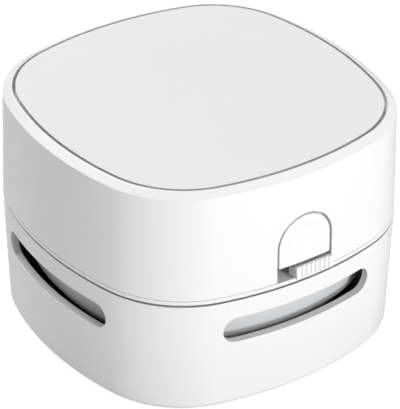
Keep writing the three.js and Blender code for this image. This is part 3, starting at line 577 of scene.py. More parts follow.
def finished(name, body, slot, drawn_parts, *nodes, second_finish=None):
    """Makes one plain mesh in metres of drawn parts, at the origin, riding on a body."""
    whole = joined_parts(name + " whole", drawn_parts)
    weighted = whole.modifiers.new("flat faces", "WEIGHTED_NORMAL")
    weighted.mode = "FACE_AREA"
    weighted.weight = face_weight
    weighted.keep_sharp = True
    mesh = copied_mesh(whole)
    bpy.data.objects.remove(whole)
    mesh.name = name
    mesh.transform(Matrix.Scale(MM, 4))
    piece = bpy.data.objects.new(name, mesh)
    bpy.context.collection.objects.link(piece)
    mesh.materials.append(finish_of_slot[slot])
    if second_finish:
        mesh.materials.append(second_finish)
    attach(piece, body)
    if nodes:
        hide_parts(*nodes)
    print(name, "has", len(mesh.polygons), "faces")
    return piece


print("rounds have", round_steps, "steps")

# %% [markdown]
# ## Sizes of the mouldings
#
# These are the driving sizes of the CAD model, repeated because this file reads nothing but the
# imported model. Both shells lean in a little, as every moulding must to leave its mould.

# %% Sizes of the mouldings
top_height = 58.65
shoulder_height = 57.43
seam_height = 29.8
rim_bottom = 30.4
rim_top = 31.35
upper_bottom = 31.6
visible_bottom = 31.47
foot_proud = 0.8
wall = 2.0
upper_draft = 0.67
lower_draft = 0.95
fit_gap = 0.3


def upper_inset(height):
    return upper_draft * (height - seam_height) / (shoulder_height - seam_height)


def lower_inset(height):
    return lower_draft * (seam_height - height) / (seam_height - foot_proud)


print("the lower shell leans in by", lower_draft, "mm and the upper one by", upper_draft, "mm")

# %% [markdown]
# ## Lower housing
#
# The dust box is one white moulding with a long round-ended slot in every side. It could be built
# from a subdivided cube, but the outline is a rule, so rings of it are skinned, and the four slots
# are cut afterwards, which leaves clean edges for the rounds.

# %% Lower shell
bottom_fillet = 1.5
fillet_steps = 8
base_inset = 3.5
base_top = 2.6
ledge_top = 4.1
ledge_width = 2.4
lip_width = 0.4
rebate_depth = 1.5
slot_length = 41.0
slot_height = 6.7
slot_middle = 21.65
slot_end_steps = 14
cut_outside = -50
slot_cut_inside = -35

fillet_top = foot_proud + bottom_fillet
fillet = []
for step in range(fillet_steps + 1):
    angle = math.pi / 2 * step / fillet_steps
    fillet.append((
        lower_inset(fillet_top) + bottom_fillet * (1 - math.sin(angle)),
        fillet_top - bottom_fillet * math.cos(angle)))
lower_shell = rings_of_body("lower shell", [
    *fillet,
    (0, seam_height),
    (lip_width, seam_height),
    (lip_width, seam_height - rebate_depth),
    (wall, seam_height - rebate_depth),
    (lower_inset(ledge_top) + wall, ledge_top),
    (base_inset + ledge_width, ledge_top),
    (base_inset + ledge_width, base_top),
    (base_inset - fit_gap, base_top),
    (base_inset - fit_gap, foot_proud),
], closed=True)

slot_end = slot_height / 2
slot_straight = slot_length / 2 - slot_end
slot_outline = [
    *arc((slot_straight, slot_middle), slot_end, -90, 90, slot_end_steps),
    *arc((-slot_straight, slot_middle), slot_end, 90, 270, slot_end_steps)]
slots = []
for turn in quarter_turns:
    slots.append(moved(prism("slot", slot_outline, cut_outside, slot_cut_inside, "y"), (0, 0, 0), turn))
cut_with(lower_shell, *slots)
rounded(lower_shell, shell_round)
print("four slots of", slot_length, "by", slot_height, "mm")

# %% Posts inside the dust box
post_place = 34.0
post_radius = 3.0
post_rib = 1.6
post_hole = 1.3
post_hole_top = 8.2
filter_bottom = 10.5

posts = []
for turn in quarter_turns:
    post = turned("post", [
        (0, post_hole_top), (post_hole, post_hole_top), (post_hole, base_top), (post_radius, base_top),
        (post_radius, filter_bottom), (0, filter_bottom)], round_sides)
    moved(post, (post_place, 0, 0))
    moved(post, (0, 0, 0), turn)
    rib = box_between(
        "rib", (post_place + post_radius / 2, -post_rib / 2, base_top),
        (body_half - wall, post_rib / 2, filter_bottom))
    moved(rib, (0, 0, 0), turn)
    posts += [rounded(post, shell_round), rounded(rib, shell_round)]
finished("dust_box_shell", "dust_box", "shell_white", [lower_shell, *posts], "lower_housing")

# %% [markdown]
# ## Upper housing
#
# The upper moulding carries the look of the whole thing: a tall wall, a narrow sloping shoulder, and
# a thin rim round the well that the cover drops into. The rim is undercut and a channel runs round
# the ledge below it, so that the gap round the cover looks dark. An arched opening is cut in the
# front for the switch. Again rings are skinned and then cut.

# %% Upper shell
well_inset = 3.0
rim_land = 0.35
rim_edge = 0.2
rim_undercut = 0.45
channel_depth = 0.8
channel_reach = 1.15
ledge_height = 56.85
cover_ledge_width = 2.0
cover_ledge_thickness = 1.5
arch_half = 7.6
arch_top = 47.5
arch_steps = 40
arch_cut_inside = -38

ledge_low = ledge_height - cover_ledge_thickness
upper_shell = rings_of_body("upper shell", [
    (upper_inset(visible_bottom), visible_bottom),
    (upper_inset(shoulder_height), shoulder_height),
    (well_inset - rim_land, top_height),
    (well_inset, top_height),
    (well_inset, top_height - rim_edge),
    (well_inset - rim_undercut, top_height - rim_edge - rim_undercut),
    (well_inset - rim_undercut, ledge_height - channel_depth),
    (well_inset + channel_reach, ledge_height - channel_depth),
    (well_inset + channel_reach, ledge_height),
    (well_inset + cover_ledge_width, ledge_height),
    (well_inset + cover_ledge_width, ledge_low),
    (upper_inset(ledge_low) + wall, ledge_low),
    (upper_inset(visible_bottom) + wall, visible_bottom),
], closed=True)


def arch_outline(half, bottom, top):
    return [(-half, bottom), (half, bottom), *arc((0, top - half), half, 0, 180, arch_steps)]


opening = prism(
    "opening", arch_outline(arch_half, upper_bottom - past, arch_top), cut_outside, arch_cut_inside, "y")
cut_with(upper_shell, opening)
rounded(upper_shell, edge_round)
print("arched opening", 2 * arch_half, "mm wide")

# %% Screw bosses of the upper shell
ear_place = 28.7
boss_radius = 2.6
boss_height = 5.4
boss_hole_top = 4.8

bosses = []
ear_places = corners_at(ear_place, ear_place)
inner_corner = max(point.length for point in body_plan(upper_inset(upper_bottom) + wall))
for x, y in ear_places:
    boss = turned("boss", [
        (0, boss_hole_top), (post_hole, boss_hole_top), (post_hole, 0), (boss_radius, 0),
        (boss_radius, boss_height), (0, boss_height)], round_sides)
    moved(boss, (x, y, upper_bottom))
    pull = math.hypot(x, y)
    rib = box_between(
        "rib", (pull + boss_radius / 2, -post_rib / 2, upper_bottom),
        (inner_corner + wall / 2, post_rib / 2, upper_bottom + boss_height))
    moved(rib, (0, 0, 0), math.atan2(y, x))
    bosses += [rounded(boss, shell_round), rounded(rib, shell_round)]
finished("head_shell", "head", "shell_white", [upper_shell, *bosses], "upper_housing")

# %% [markdown]
# ## Cover
#
# The cover is a flat plate with the outline of the body. It lies almost flush in its well with a
# gap of half a millimetre to a millimetre all round, and four small tabs under it centre it. Below
# its visible edge the plate steps in a little, which keeps the gap dark.

# %% Cover plate
cover_gap = 0.7
cover_round = 0.06
edge_undercut = 0.7
undercut_drop = 0.6
tab_length = 8.0
tab_thickness = 1.2
tab_drop = 3.0
tab_sink = 0.5

cover_inset = well_inset + cover_gap
cover_plate = rings_of_body("cover", [
    (cover_inset + edge_undercut, ledge_height),
    (cover_inset + edge_undercut, top_height - undercut_drop),
    (cover_inset, top_height)], closed=False)
rounded(cover_plate, cover_round)
tab_outside = body_half - well_inset - cover_ledge_width - fit_gap
tabs = []
for turn in quarter_turns:
    tab = box_between(
        "tab", (tab_outside - tab_thickness, -tab_length / 2, ledge_height - tab_drop),
        (tab_outside, tab_length / 2, ledge_height + tab_sink))
    tabs.append(rounded(moved(tab, (0, 0, 0), turn), broad_round))
finished("battery_cover_plate", "battery_cover", "panel_grey", [cover_plate, *tabs], "top_panel")

# %% [markdown]
# ## Chassis plate
#
# A white plate carries the motor and closes the head from below. Only its edge shows, as the narrow
# band over the seam, but the whole of it appears when the head comes off the dust box.

# %% Chassis
skirt_drop = 3.0
skirt_wall = 1.2
motor_radius = 12.2
motor_gap = 0.4
collar_wall = 1.5
collar_height = 3.0
collar_sides = 72
bush_radius = 3.0
motor_screw_place = 8.0
deck_round = 0.07
root = 0.5

deck = rings_of_body(
    "deck", [(upper_inset(rim_bottom), rim_bottom), (upper_inset(rim_top), rim_top)], closed=False)
motor_screw_places = [(0, sign * motor_screw_place) for sign in signs]
bush_hole = bush_radius + fit_gap
hole_cutters = [
    plug(post_hole, rim_bottom - past, rim_top + past, x, y) for x, y in ear_places + motor_screw_places]
hole_cutters.append(plug(bush_hole, rim_bottom - past, rim_top + past))
cut_with(deck, *hole_cutters)
rounded(deck, deck_round)

skirt_outside = lower_inset(seam_height - skirt_drop) + wall + fit_gap
skirt = rings_of_body("skirt", [
    (skirt_outside, rim_bottom - skirt_drop),
    (skirt_outside, rim_bottom + root),
    (skirt_outside + skirt_wall, rim_bottom + root),
    (skirt_outside + skirt_wall, rim_bottom - skirt_drop)], closed=True)
rounded(skirt, shell_round)
collar_inside = motor_radius + motor_gap
collar = tube(
    collar_inside, collar_inside + collar_wall, rim_top - root, rim_top + collar_height, collar_sides)
rounded(collar, shell_round)
finished("chassis_moulding", "head", "shell_white", [deck, skirt, collar], "chassis_plate")

# %% [markdown]
# ## Arched bezel
#
# The bezel fills the arched opening, follows the bow of the wall, and is dished a little, which is
# what gives it the soft shade near its right edge. It is lofted as shrinking arch outlines laid on
# the bowed wall, each at its own depth. The core behind its face is narrower, which keeps the gap
# round it dark.

# %% Bezel
arch_gap = 0.55
face_thickness = 0.8
face_overhang = 0.5
track_height = 3.6
bezel_sink = 0.15
bezel_lap = 1.6
bezel_back = 1.4
dish_depth = 0.45
dish_rings = 10
dish_edge = 0.08
dish_slope = 0.4
dish_lift = 0.5
outline_spacing = 0.8
core_overlap = 0.1
stem_slot_height = 3.2
tab_bottom = rim_top + track_height
stem_slot_top = tab_bottom - 0.3
stem_slot_low = stem_slot_top - stem_slot_height
stem_slot_half = arch_half - 0.4


def wall_y(x, height, inset):
    """Y of the bowed front wall at a place across it, moved inwards by an inset."""
    radius = side_bow_radius - upper_inset(height) - inset
    return side_bow_radius - body_half - math.sqrt(radius ** 2 - x ** 2)


def eased(share):
    share = min(max(share, 0), 1)
    return share * share * (3 - 2 * share)


def arched_layer(name, half, bottom, top, front, rear, dish):
    """Arch-shaped plate on the bowed wall; the front may be dished."""
    outline = []
    corners = arch_outline(half, bottom, top)
    sides = [(corners[-1], corners[0]), (corners[0], corners[1]), (corners[1], corners[2])]
    for start, end in sides:
        count = max(int(math.dist(start, end) / outline_spacing), 1)
        outline += [
            (start[0] + (end[0] - start[0]) * step / count, start[1] + (end[1] - start[1]) * step / count)
            for step in range(count)]
    outline += corners[2:-1]
    middle = (0, (bottom + top - half) / 2 + dish_lift)
    rings = [[(x, wall_y(x, z, rear), z) for x, z in outline]]
    for level in range(dish_rings):
        share = level / dish_rings
        depth = front + dish * eased((share - dish_edge) / dish_slope)
        ring = []
        for x, z in outline:
            at_x = x + (middle[0] - x) * share
            at_z = z + (middle[1] - z) * share
            ring.append((at_x, wall_y(at_x, at_z, depth), at_z))
        rings.append(ring)
    count = len(outline)
    faces = [tuple(range(count))]
    for level in range(len(rings) - 1):
        for side in range(count):
            after = (side + 1) % count
            low = level * count
            faces.append((low + side, low + after, low + count + after, low + count + side))
    hub = len(rings) * count
    last = hub - count
    faces += [(last + side, last + (side + 1) % count, hub) for side in range(count)]
    vertices = [vertex for ring in rings for vertex in ring]
    vertices.append((middle[0], wall_y(middle[0], middle[1], front + dish), middle[1]))
    layer = draw(name, vertices, faces)
    face_out(layer)
    return layer


bezel_rear = wall + fit_gap + bezel_back
face_half = arch_half - arch_gap
face_top = arch_top - arch_gap
bezel_face = arched_layer(
    "bezel face", face_half, tab_bottom, face_top, bezel_sink, bezel_sink + face_thickness, dish_depth)
bezel_core = arched_layer(
    "bezel core", face_half - face_overhang, tab_bottom, face_top - face_overhang,
    bezel_sink + face_thickness - core_overlap, bezel_rear, 0)
bezel_plate = arched_layer(
    "bezel back", arch_half + bezel_lap, rim_top + fit_gap, arch_top + bezel_lap,
    wall + fit_gap, bezel_rear, 0)
stem_slot = box_between(
    "stem slot", (-stem_slot_half, cut_outside, stem_slot_low),
    (stem_slot_half, slot_cut_inside, stem_slot_top))
cut_with(bezel_plate, stem_slot)
rounded(bezel_face, edge_round)
rounded(bezel_plate, small_round)
finished("arched_bezel", "head", "shell_white", [bezel_face, bezel_core, bezel_plate], "switch_bezel")

# %% [markdown]
# ## Geometry Nodes for what repeats
#
# Ridges, screws, bristles, blades and springs all repeat, and each is made by a small Geometry Nodes
# tree with named sizes. One helper starts a tree with its inputs, another runs it on a start mesh
# and copies the result off the modifier, because the export keeps meshes and drops instances.

# %% Geometry Nodes helpers
def start_tree(name, inputs):
    """Makes a tree with named inputs; gives the tree, its inputs and their identifiers."""
    tree = bpy.data.node_groups.new(name, "GeometryNodeTree")
    tree.interface.new_socket("Geometry", in_out="INPUT", socket_type="NodeSocketGeometry")
    keys = {}
    for label, kind in inputs.items():
        socket = tree.interface.new_socket(label, in_out="INPUT", socket_type="NodeSocket" + kind)
        keys[label] = socket.identifier
    tree.interface.new_socket("Geometry", in_out="OUTPUT", socket_type="NodeSocketGeometry")
    return tree, add_node(tree, "NodeGroupInput").outputs, keys


def end_tree(tree, geometry, material):
    """Every tree ends by making its copies real and giving them their material."""
    real = add_node(tree, "GeometryNodeRealizeInstances", None, {"Geometry": geometry})
    painted = add_node(tree, "GeometryNodeSetMaterial", None, {"Geometry": real, "Material": material})
    add_node(tree, "NodeGroupOutput", None, {"Geometry": painted})


def grown(tree, keys, values, points=((0, 0, 0),)):
    """Runs a tree on a few points and gives the result as a drawn part."""
    start = draw("start", points, [])
    modifier = start.modifiers.new("grow", "NODES")
    modifier.node_group = tree
    for label, value in values.items():
        modifier[keys[label]] = value
    mesh = copied_mesh(start)
    start.modifiers.clear()
    start.data = mesh
    return start


print("trees end with Realize Instances and Set Material")

# %% [markdown]
# ## Slide knob
#
# The knob is a small white block with eight ridges for the finger, and its face leans out towards its
# foot. A line of points carries one ridge each: a bar with sloping sides, made by running a filleted
# trapezoid along a short line. The bars are then sheared to follow the face. The outer ridges end
# square, flush with the ends of the block, and its top falls towards the back.

# %% Ridge tree
ridge_tree, given, ridge_keys = start_tree("finger ridges", {
    "Ridge count": "Int", "Pitch": "Float", "Crest width": "Float", "Foot width": "Float",
    "Ridge depth": "Float", "Ridge height": "Float", "Edge round": "Float", "Material": "Material"})
offset = add_node(ridge_tree, "ShaderNodeCombineXYZ", None, {"X": given["Pitch"]})
line = add_node(
    ridge_tree, "GeometryNodeMeshLine", None, {"Count": given["Ridge count"], "Offset": offset})
section = add_node(
    ridge_tree, "GeometryNodeCurvePrimitiveQuadrilateral", {"mode": "TRAPEZOID", "Offset": 0.0},
    {"Bottom Width": given["Crest width"], "Top Width": given["Foot width"],
     "Height": given["Ridge depth"]})
filleted = add_node(
    ridge_tree, "GeometryNodeFilletCurve", {"mode": "POLY", "Count": 4},
    {"Curve": section, "Radius": given["Edge round"]})
upwards = add_node(ridge_tree, "ShaderNodeCombineXYZ", None, {"Z": given["Ridge height"]})
axis = add_node(ridge_tree, "GeometryNodeCurvePrimitiveLine", None, {"End": upwards})
ridge = add_node(
    ridge_tree, "GeometryNodeCurveToMesh", {"Fill Caps": True},
    {"Curve": axis, "Profile Curve": filleted})
ridges = add_node(ridge_tree, "GeometryNodeInstanceOnPoints", None, {"Points": line, "Instance": ridge})
end_tree(ridge_tree, ridges, given["Material"])
print("finger ridges:", len(ridge_tree.nodes), "nodes")

# %% Knob
knob_length = 10.2
knob_rest = 1.8
knob_proud = 1.3
knob_top_proud = 1.0
knob_top_gap = 0.45
knob_top_fall = 0.8
ridge_count = 8
groove_depth = 0.6
crest_width = 0.5
end_cover = 0.03
ridge_sink = 0.2
ridge_round = 0.1
ridge_smooth = 50
stem_length = 3.0
stem_height = 1.0
stem_root = 0.5
fork_reach = 1.4
fork_slot = 1.6

knob_front = -body_half + upper_inset(rim_top) - knob_proud
knob_back = -body_half + wall
knob_low = rim_top + fit_gap
knob_high = tab_bottom - knob_top_gap
knob_lean = (knob_proud - knob_top_proud) / (knob_high - knob_low)
knob_left = knob_rest - knob_length / 2
pitch = knob_length / ridge_count
ridge_depth = groove_depth + ridge_sink
first_ridge = knob_rest - (ridge_count - 1) / 2 * pitch
ridge_bars = grown(ridge_tree, ridge_keys, {
    "Ridge count": ridge_count, "Pitch": pitch, "Crest width": crest_width, "Foot width": pitch,
    "Ridge depth": ridge_depth, "Ridge height": knob_high - knob_low, "Edge round": ridge_round,
    "Material": gloss_white_abs})
lean = Matrix.Identity(4)
lean[1][2] = knob_lean
ridge_bars.data.transform(lean)
moved(ridge_bars, (first_ridge, knob_front + end_cover + ridge_depth / 2, knob_low))
soften(ridge_bars, ridge_smooth)
knob_right = knob_left + knob_length
end_width = (pitch + crest_width) / 2


def face_at(height, depth):
    """Y of a surface that lies the given depth behind the leaning face."""
    return knob_front + depth + knob_lean * (height - knob_low)


# The square ends cover the outer half of the outer ridges, which stand a hair behind them.
knob_block = prism("knob", [
    (face_at(knob_low, 0), knob_low), (knob_back, knob_low),
    (knob_back, knob_high - knob_top_fall), (face_at(knob_high, 0), knob_high)],
    knob_left, knob_right, "x")
groove_low = knob_low - past
groove_high = knob_high + past
groove_front = knob_front - 2 * past
groove = prism("groove", [
    (groove_front, groove_low), (face_at(groove_low, groove_depth), groove_low),
    (face_at(groove_high, groove_depth), groove_high), (groove_front, groove_high)],
    knob_left + end_width, knob_right - end_width, "x")
cut_with(knob_block, groove)
rounded(knob_block, small_round)
fork_end = -body_half + bezel_rear + fork_reach
stem_low = (stem_slot_low + stem_slot_top - stem_height) / 2
stem = box_between(
    "stem", (knob_rest - stem_length / 2, knob_back - stem_root, stem_low),
    (knob_rest + stem_length / 2, fork_end, stem_low + stem_height))
fork_gap = box_between(
    "fork gap", (knob_rest - fork_slot / 2, fork_end - fork_reach, stem_low - past),
    (knob_rest + fork_slot / 2, fork_end + past, stem_low + stem_height + past))
cut_with(stem, fork_gap)
rounded(stem, edge_round)
finished("ribbed_knob", "switch_slider", "shell_white", [knob_block, ridge_bars, stem], "slide_knob")

# %% [markdown]
# ## Fan bowl
#
# Behind the slots hangs a glossy grey bowl, a rounded square with rounder corners than the body. Two
# plates of rings, one cut from the other, give its wall. Round pockets in its corners make room for
# the screws, and the twelve windows that let the air out are cut by one ring of blocks. Its side
# ends in a small lip over the rounding, which draws the dark line seen through the slots. The inside
# steps in above the lip, so that the wall stays closed all the way down.
#
# A small tree copies a part onto given points and can turn each copy a bit further. Turned by equal
# shares of a circle, the copies make a ring. The feet and the screws are placed by the same tree.

# %% Copies-on-points tree
spot_tree, given, spot_keys = start_tree("copies on points", {
    "Copied object": "Object", "Turn per copy": "Float", "Material": "Material"})
original = add_node(spot_tree, "GeometryNodeObjectInfo", None, {"Object": given["Copied object"]})
number = add_node(spot_tree, "GeometryNodeInputIndex")
turn_amount = add_node(
    spot_tree, "ShaderNodeMath", {"operation": "MULTIPLY"}, {0: number, 1: given["Turn per copy"]})
turn_node = add_node(spot_tree, "ShaderNodeCombineXYZ", None, {"Z": turn_amount})
spots = add_node(
    spot_tree, "GeometryNodeInstanceOnPoints", None,
    {"Points": given["Geometry"], "Instance": original.outputs["Geometry"], "Rotation": turn_node})
end_tree(spot_tree, spots, given["Material"])


def copies_at(drawn, places, turn_step, material):
    """Copies a drawn part onto places, each turned a step further than the one before."""
    drawn.data.materials.clear()
    copies = grown(
        spot_tree, spot_keys,
        {"Copied object": drawn, "Turn per copy": turn_step, "Material": material}, places)
    bpy.data.objects.remove(drawn)
    return copies


def ring_of(drawn, copies, material):
    """Copies a drawn part round the Z axis."""
    return copies_at(drawn, [(0, 0, 0)] * copies, 2 * math.pi / copies, material)


print("copies on points:", len(spot_tree.nodes), "nodes")

# %% Bowl
bowl_half = 38.0
bowl_bow_radius = 60.0
bowl_corner_radius = 30.0
bowl_bottom = 13.2
bowl_fillet = 4.5
bowl_wall = 1.5
bowl_fillet_steps = 12
lip_low = 16.6
lip_inset = 2.2
lip_edge = 0.3
eye_radius = 14.0
eye_reach = 3.0
wide_sides = 96
window_count = 12
window_length = 8.0
window_height = 5.0
window_depth = 8.0
window_bottom = 24.5
ear_radius = 2.2
ear_thickness = 1.5
pocket_radius = 2.6


def bowl_plan(inset):
    return rounded_square(bowl_half, bowl_bow_radius, bowl_corner_radius, inset)


fillet_centre = bowl_bottom + bowl_fillet
fillet_inside = bowl_fillet - bowl_wall
lip_roof = lip_low + bowl_wall
outer = []
inner = []
for step in range(bowl_fillet_steps + 1):
    angle = math.pi / 2 * step / bowl_fillet_steps
    inwards = 1 - math.sin(angle)
    height = fillet_centre - bowl_fillet * math.cos(angle)
    inside_height = fillet_centre - fillet_inside * math.cos(angle)
    if height < lip_low - lip_edge:
        outer.append((max(bowl_fillet * inwards, lip_inset), height))
    inner.append((bowl_wall + max(fillet_inside * inwards, lip_inset), inside_height))
outer.extend([(lip_inset, lip_low), (lip_edge, lip_low), (0, lip_low + lip_edge)])
inner.extend([(bowl_wall + lip_inset, lip_roof), (bowl_wall, lip_roof)])
bowl = rings_of_body("bowl", [*outer, (0, rim_bottom)], closed=False, plan=bowl_plan)
room = rings_of_body("room", [*inner, (bowl_wall, rim_bottom + past)], closed=False, plan=bowl_plan)
ear_low = rim_bottom - ear_thickness
below = bowl_bottom - past


def at_ears(radius, low, high):
    return [plug(radius, low, high, x, y) for x, y in ear_places]


window = block(bowl_half, 0, window_depth, window_length, window_bottom, window_bottom + window_height)
cut_with(room, *at_ears(pocket_radius + bowl_wall, below, rim_bottom + 2 * past))
cut_with(bowl, room)
cut_with(
    bowl, *at_ears(pocket_radius, below, ear_low),
    plug(eye_radius, below, bowl_bottom + eye_reach, sides=wide_sides))
cut_with(bowl, *at_ears(ear_radius, ear_low, rim_bottom), union=True)
cut_with(
    bowl, *at_ears(post_hole, ear_low - past, rim_bottom + past),
    ring_of(window, window_count, gloss_grey_abs))
rounded(bowl, shell_round)
finished("fan_bowl_shell", "head", "bowl_grey", [bowl], "fan_bowl")

# %% [markdown]
# ## Base plate
#
# Underneath, a white plate carries the suction inlet between two brush channels, the feet and four
# screws. It is built as it would be drawn: one plate, walls added to it, then every hole cut. The
# screw holes come after the rounding, because rounds on such small rims would leave cracks.

# %% Base plate
channel_low = 1.3
channel_top = 5.7
brush_length = 45.0
brush_width = 2.4
brush_place = 9.6
brush_gap = 0.3
brush_wall = 1.0
brush_roof = 4.7
inlet_length = 40.0
inlet_width = 12.0
foot_place = 25.5
foot_radius = 4.0
foot_recess_top = 1.6
screw_head_radius = 2.0
counterbore_top = 2.0
under = 0.3

base = rings_of_body("base", [(base_inset, foot_proud), (base_inset, base_top)], closed=False)
channel_half = brush_length / 2 + brush_gap
channel_side = brush_width / 2 + brush_gap
walls = []
pockets = []
for sign in signs:
    brush_y = sign * brush_place
    walls.append(block(
        0, brush_y, 2 * (channel_half + brush_wall), 2 * (channel_side + brush_wall), channel_low,
        channel_top))
    walls.append(block(
        sign * (inlet_length + brush_wall) / 2, 0, brush_wall, 2 * brush_place, channel_low, channel_top))
    pockets.append(block(0, brush_y, 2 * channel_half, 2 * channel_side, under, brush_roof))
inlet = block(0, 0, inlet_length, inlet_width, under, channel_top + past)
foot_places = corners_at(foot_place, foot_place)
post_places = [(post_place, 0), (0, post_place), (-post_place, 0), (0, -post_place)]
recesses = [plug(foot_radius + fit_gap, under, foot_recess_top, x, y) for x, y in foot_places]
counterbores = [plug(screw_head_radius + fit_gap, under, counterbore_top, x, y) for x, y in post_places]
screw_holes = [plug(post_hole, under, base_top + past, x, y) for x, y in post_places]
cut_with(base, *walls, union=True)
cut_with(base, *pockets, inlet)
cut_with(base, *recesses, *counterbores)
rounded(base, small_round)
cut_with(base, *screw_holes)
soften(base)
finished("suction_base", "dust_box", "shell_white", [base], "base_plate")

# %% [markdown]
# ## Feet
#
# The four feet are one turned form, hollowed a little in the middle so that only a ring touches the
# table.

# %% Feet
foot_hollow = 2.5
hollow_rise = 0.15
hollow_slope = 0.25
foot_edge = 0.45
mid_sides = 64

foot = turned("foot", [
    (0, hollow_rise), (foot_hollow, hollow_rise), (foot_hollow + hollow_slope, 0),
    (foot_radius - foot_edge, 0), (foot_radius - foot_edge / 3, foot_edge / 3), (foot_radius, foot_edge),
    (foot_radius, foot_recess_top), (0, foot_recess_top)], mid_sides)
soften(rounded(foot, fine_round), ridge_smooth)
feet = copies_at(foot, [(x, y, 0) for x, y in foot_places], 0.0, foot_rubber)
finished("rubber_feet", "dust_box", "foot_rubber", [feet], *numbered("foot", 4))

# %% [markdown]
# ## Brushes
#
# Each brush strip is a slice of backing full of nylon filaments. A grid of points carries one thin
# rod each, hung from its root and leaned by a small random amount.

# %% Bristle tree
bristle_tree, given, bristle_keys = start_tree("bristles", {
    "Strip length": "Float", "Strip width": "Float", "Columns": "Int", "Rows": "Int",
    "Bristle radius": "Float", "Bristle length": "Float", "Lean": "Float", "Material": "Material"})
grid = add_node(
    bristle_tree, "GeometryNodeMeshGrid", None,
    {"Size X": given["Strip length"], "Size Y": given["Strip width"],
     "Vertices X": given["Columns"], "Vertices Y": given["Rows"]})
filament = add_node(
    bristle_tree, "GeometryNodeMeshCylinder", {"Vertices": 5},
    {"Radius": given["Bristle radius"], "Depth": given["Bristle length"]})
half_down = add_node(
    bristle_tree, "ShaderNodeMath", {"operation": "MULTIPLY", 1: -0.5}, {0: given["Bristle length"]})
hang = add_node(bristle_tree, "ShaderNodeCombineXYZ", None, {"Z": half_down})
hung = add_node(bristle_tree, "GeometryNodeTransform", None, {"Geometry": filament, "Translation": hang})
least = add_node(bristle_tree, "ShaderNodeMath", {"operation": "MULTIPLY", 1: -1.0}, {0: given["Lean"]})
lean_x = add_node(
    bristle_tree, "FunctionNodeRandomValue", {"data_type": "FLOAT", "Seed": 3},
    {2: least, 3: given["Lean"]})
lean_y = add_node(
    bristle_tree, "FunctionNodeRandomValue", {"data_type": "FLOAT", "Seed": 8},
    {2: least, 3: given["Lean"]})
leaning = add_node(
    bristle_tree, "ShaderNodeCombineXYZ", None, {"X": lean_x.outputs[1], "Y": lean_y.outputs[1]})
strip = add_node(
    bristle_tree, "GeometryNodeInstanceOnPoints", None,
    {"Points": grid, "Instance": hung, "Rotation": leaning})
end_tree(bristle_tree, strip, given["Material"])
print("bristles:", len(bristle_tree.nodes), "nodes")

# %% Brush strips
backing_low = 3.6
bristle_root = 0.2
tip_height = 0.25
columns = 105
rows = 6
bristle_radius = 0.09
most_lean = 0.05
strip_end = 1.0
strip_side = 0.8
wire_smooth = 60

strips = []
for sign in signs:
    brush_y = sign * brush_place
    backing = block(0, brush_y, brush_length, brush_width, backing_low, brush_roof)
    strips.append(rounded(backing, small_round))
    bristles = grown(bristle_tree, bristle_keys, {
        "Strip length": brush_length - strip_end, "Strip width": brush_width - strip_side,
        "Columns": columns, "Rows": rows, "Bristle radius": bristle_radius,
        "Bristle length": backing_low + bristle_root - tip_height, "Lean": most_lean,
        "Material": drawn_nylon})
    strips.append(soften(moved(bristles, (0, brush_y, backing_low + bristle_root)), wire_smooth))
finished("bristle_strips", "dust_box", "bristle_nylon", strips, "brush_front", "brush_rear")

# %% [markdown]
# ## Springs and screw threads
#
# A wire wound round an axis serves twice: as the contact springs of the battery bay and as the
# thread of the screws. The tree runs a round section along a spiral.

# %% Spiral tree
spiral_tree, given, spiral_keys = start_tree("wire spiral", {
    "Turns": "Float", "Start radius": "Float", "End radius": "Float", "Length": "Float",
    "Wire radius": "Float", "Steps per turn": "Int", "Section sides": "Int", "Material": "Material"})
spiral = add_node(
    spiral_tree, "GeometryNodeCurveSpiral", None,
    {"Resolution": given["Steps per turn"], "Rotations": given["Turns"],
     "Start Radius": given["Start radius"], "End Radius": given["End radius"],
     "Height": given["Length"]})
wire_section = add_node(
    spiral_tree, "GeometryNodeCurvePrimitiveCircle", None,
    {"Resolution": given["Section sides"], "Radius": given["Wire radius"]})
wire = add_node(
    spiral_tree, "GeometryNodeCurveToMesh", {"Fill Caps": True},
    {"Curve": spiral, "Profile Curve": wire_section})
end_tree(spiral_tree, wire, given["Material"])
print("wire spiral:", len(spiral_tree.nodes), "nodes")

# %% Screws
# Pan heads with a cross recess. The shank is a core with the spiral run round it as its thread. Each
# screw is turned a bit further than the one before, so that their crosses don't line up.
head_height = 1.4
head_profile = [(0, 0), (0.9, 0.03), (1.45, 0.2), (1.8, 0.52), (1.97, 0.95)]
head_smooth = 40
recess_length = 2.1
recess_width = 0.5
recess_top = -0.6
core_radius = 0.82
point_length = 0.5
thread_pitch = 0.55
thread_wire = 0.15
thread_start = 0.25
thread_short = 0.8
cross_turn = 0.8
base_screw_length = 5.6
housing_screw_length = 6.9
motor_screw_length = 3.5


def pan_screw(length):
    """Screw that points upwards, its head under z = 0."""
    head = turned("screw", [
        *[(radius, height - head_height) for radius, height in head_profile], (screw_head_radius, 0),
        (core_radius, 0), (core_radius, length - point_length), (core_radius / 2, length),
        (0, length)], round_sides)
    crown = -head_height - past
    bar = block(0, 0, recess_length, recess_width, crown, recess_top)
    other = block(0, 0, recess_width, recess_length, crown, recess_top)
    cut_with(head, bar, other)
    soften(rounded(head, fine_round), head_smooth)
    thread_length = length - thread_short
    thread = grown(spiral_tree, spiral_keys, {
        "Turns": thread_length / thread_pitch, "Start radius": core_radius, "End radius": core_radius,
        "Length": thread_length, "Wire radius": thread_wire, "Steps per turn": 20, "Section sides": 6,
        "Material": zinc_steel})
    soften(moved(thread, (0, 0, thread_start)), wire_smooth)
    return joined_parts("screw", [head, thread])


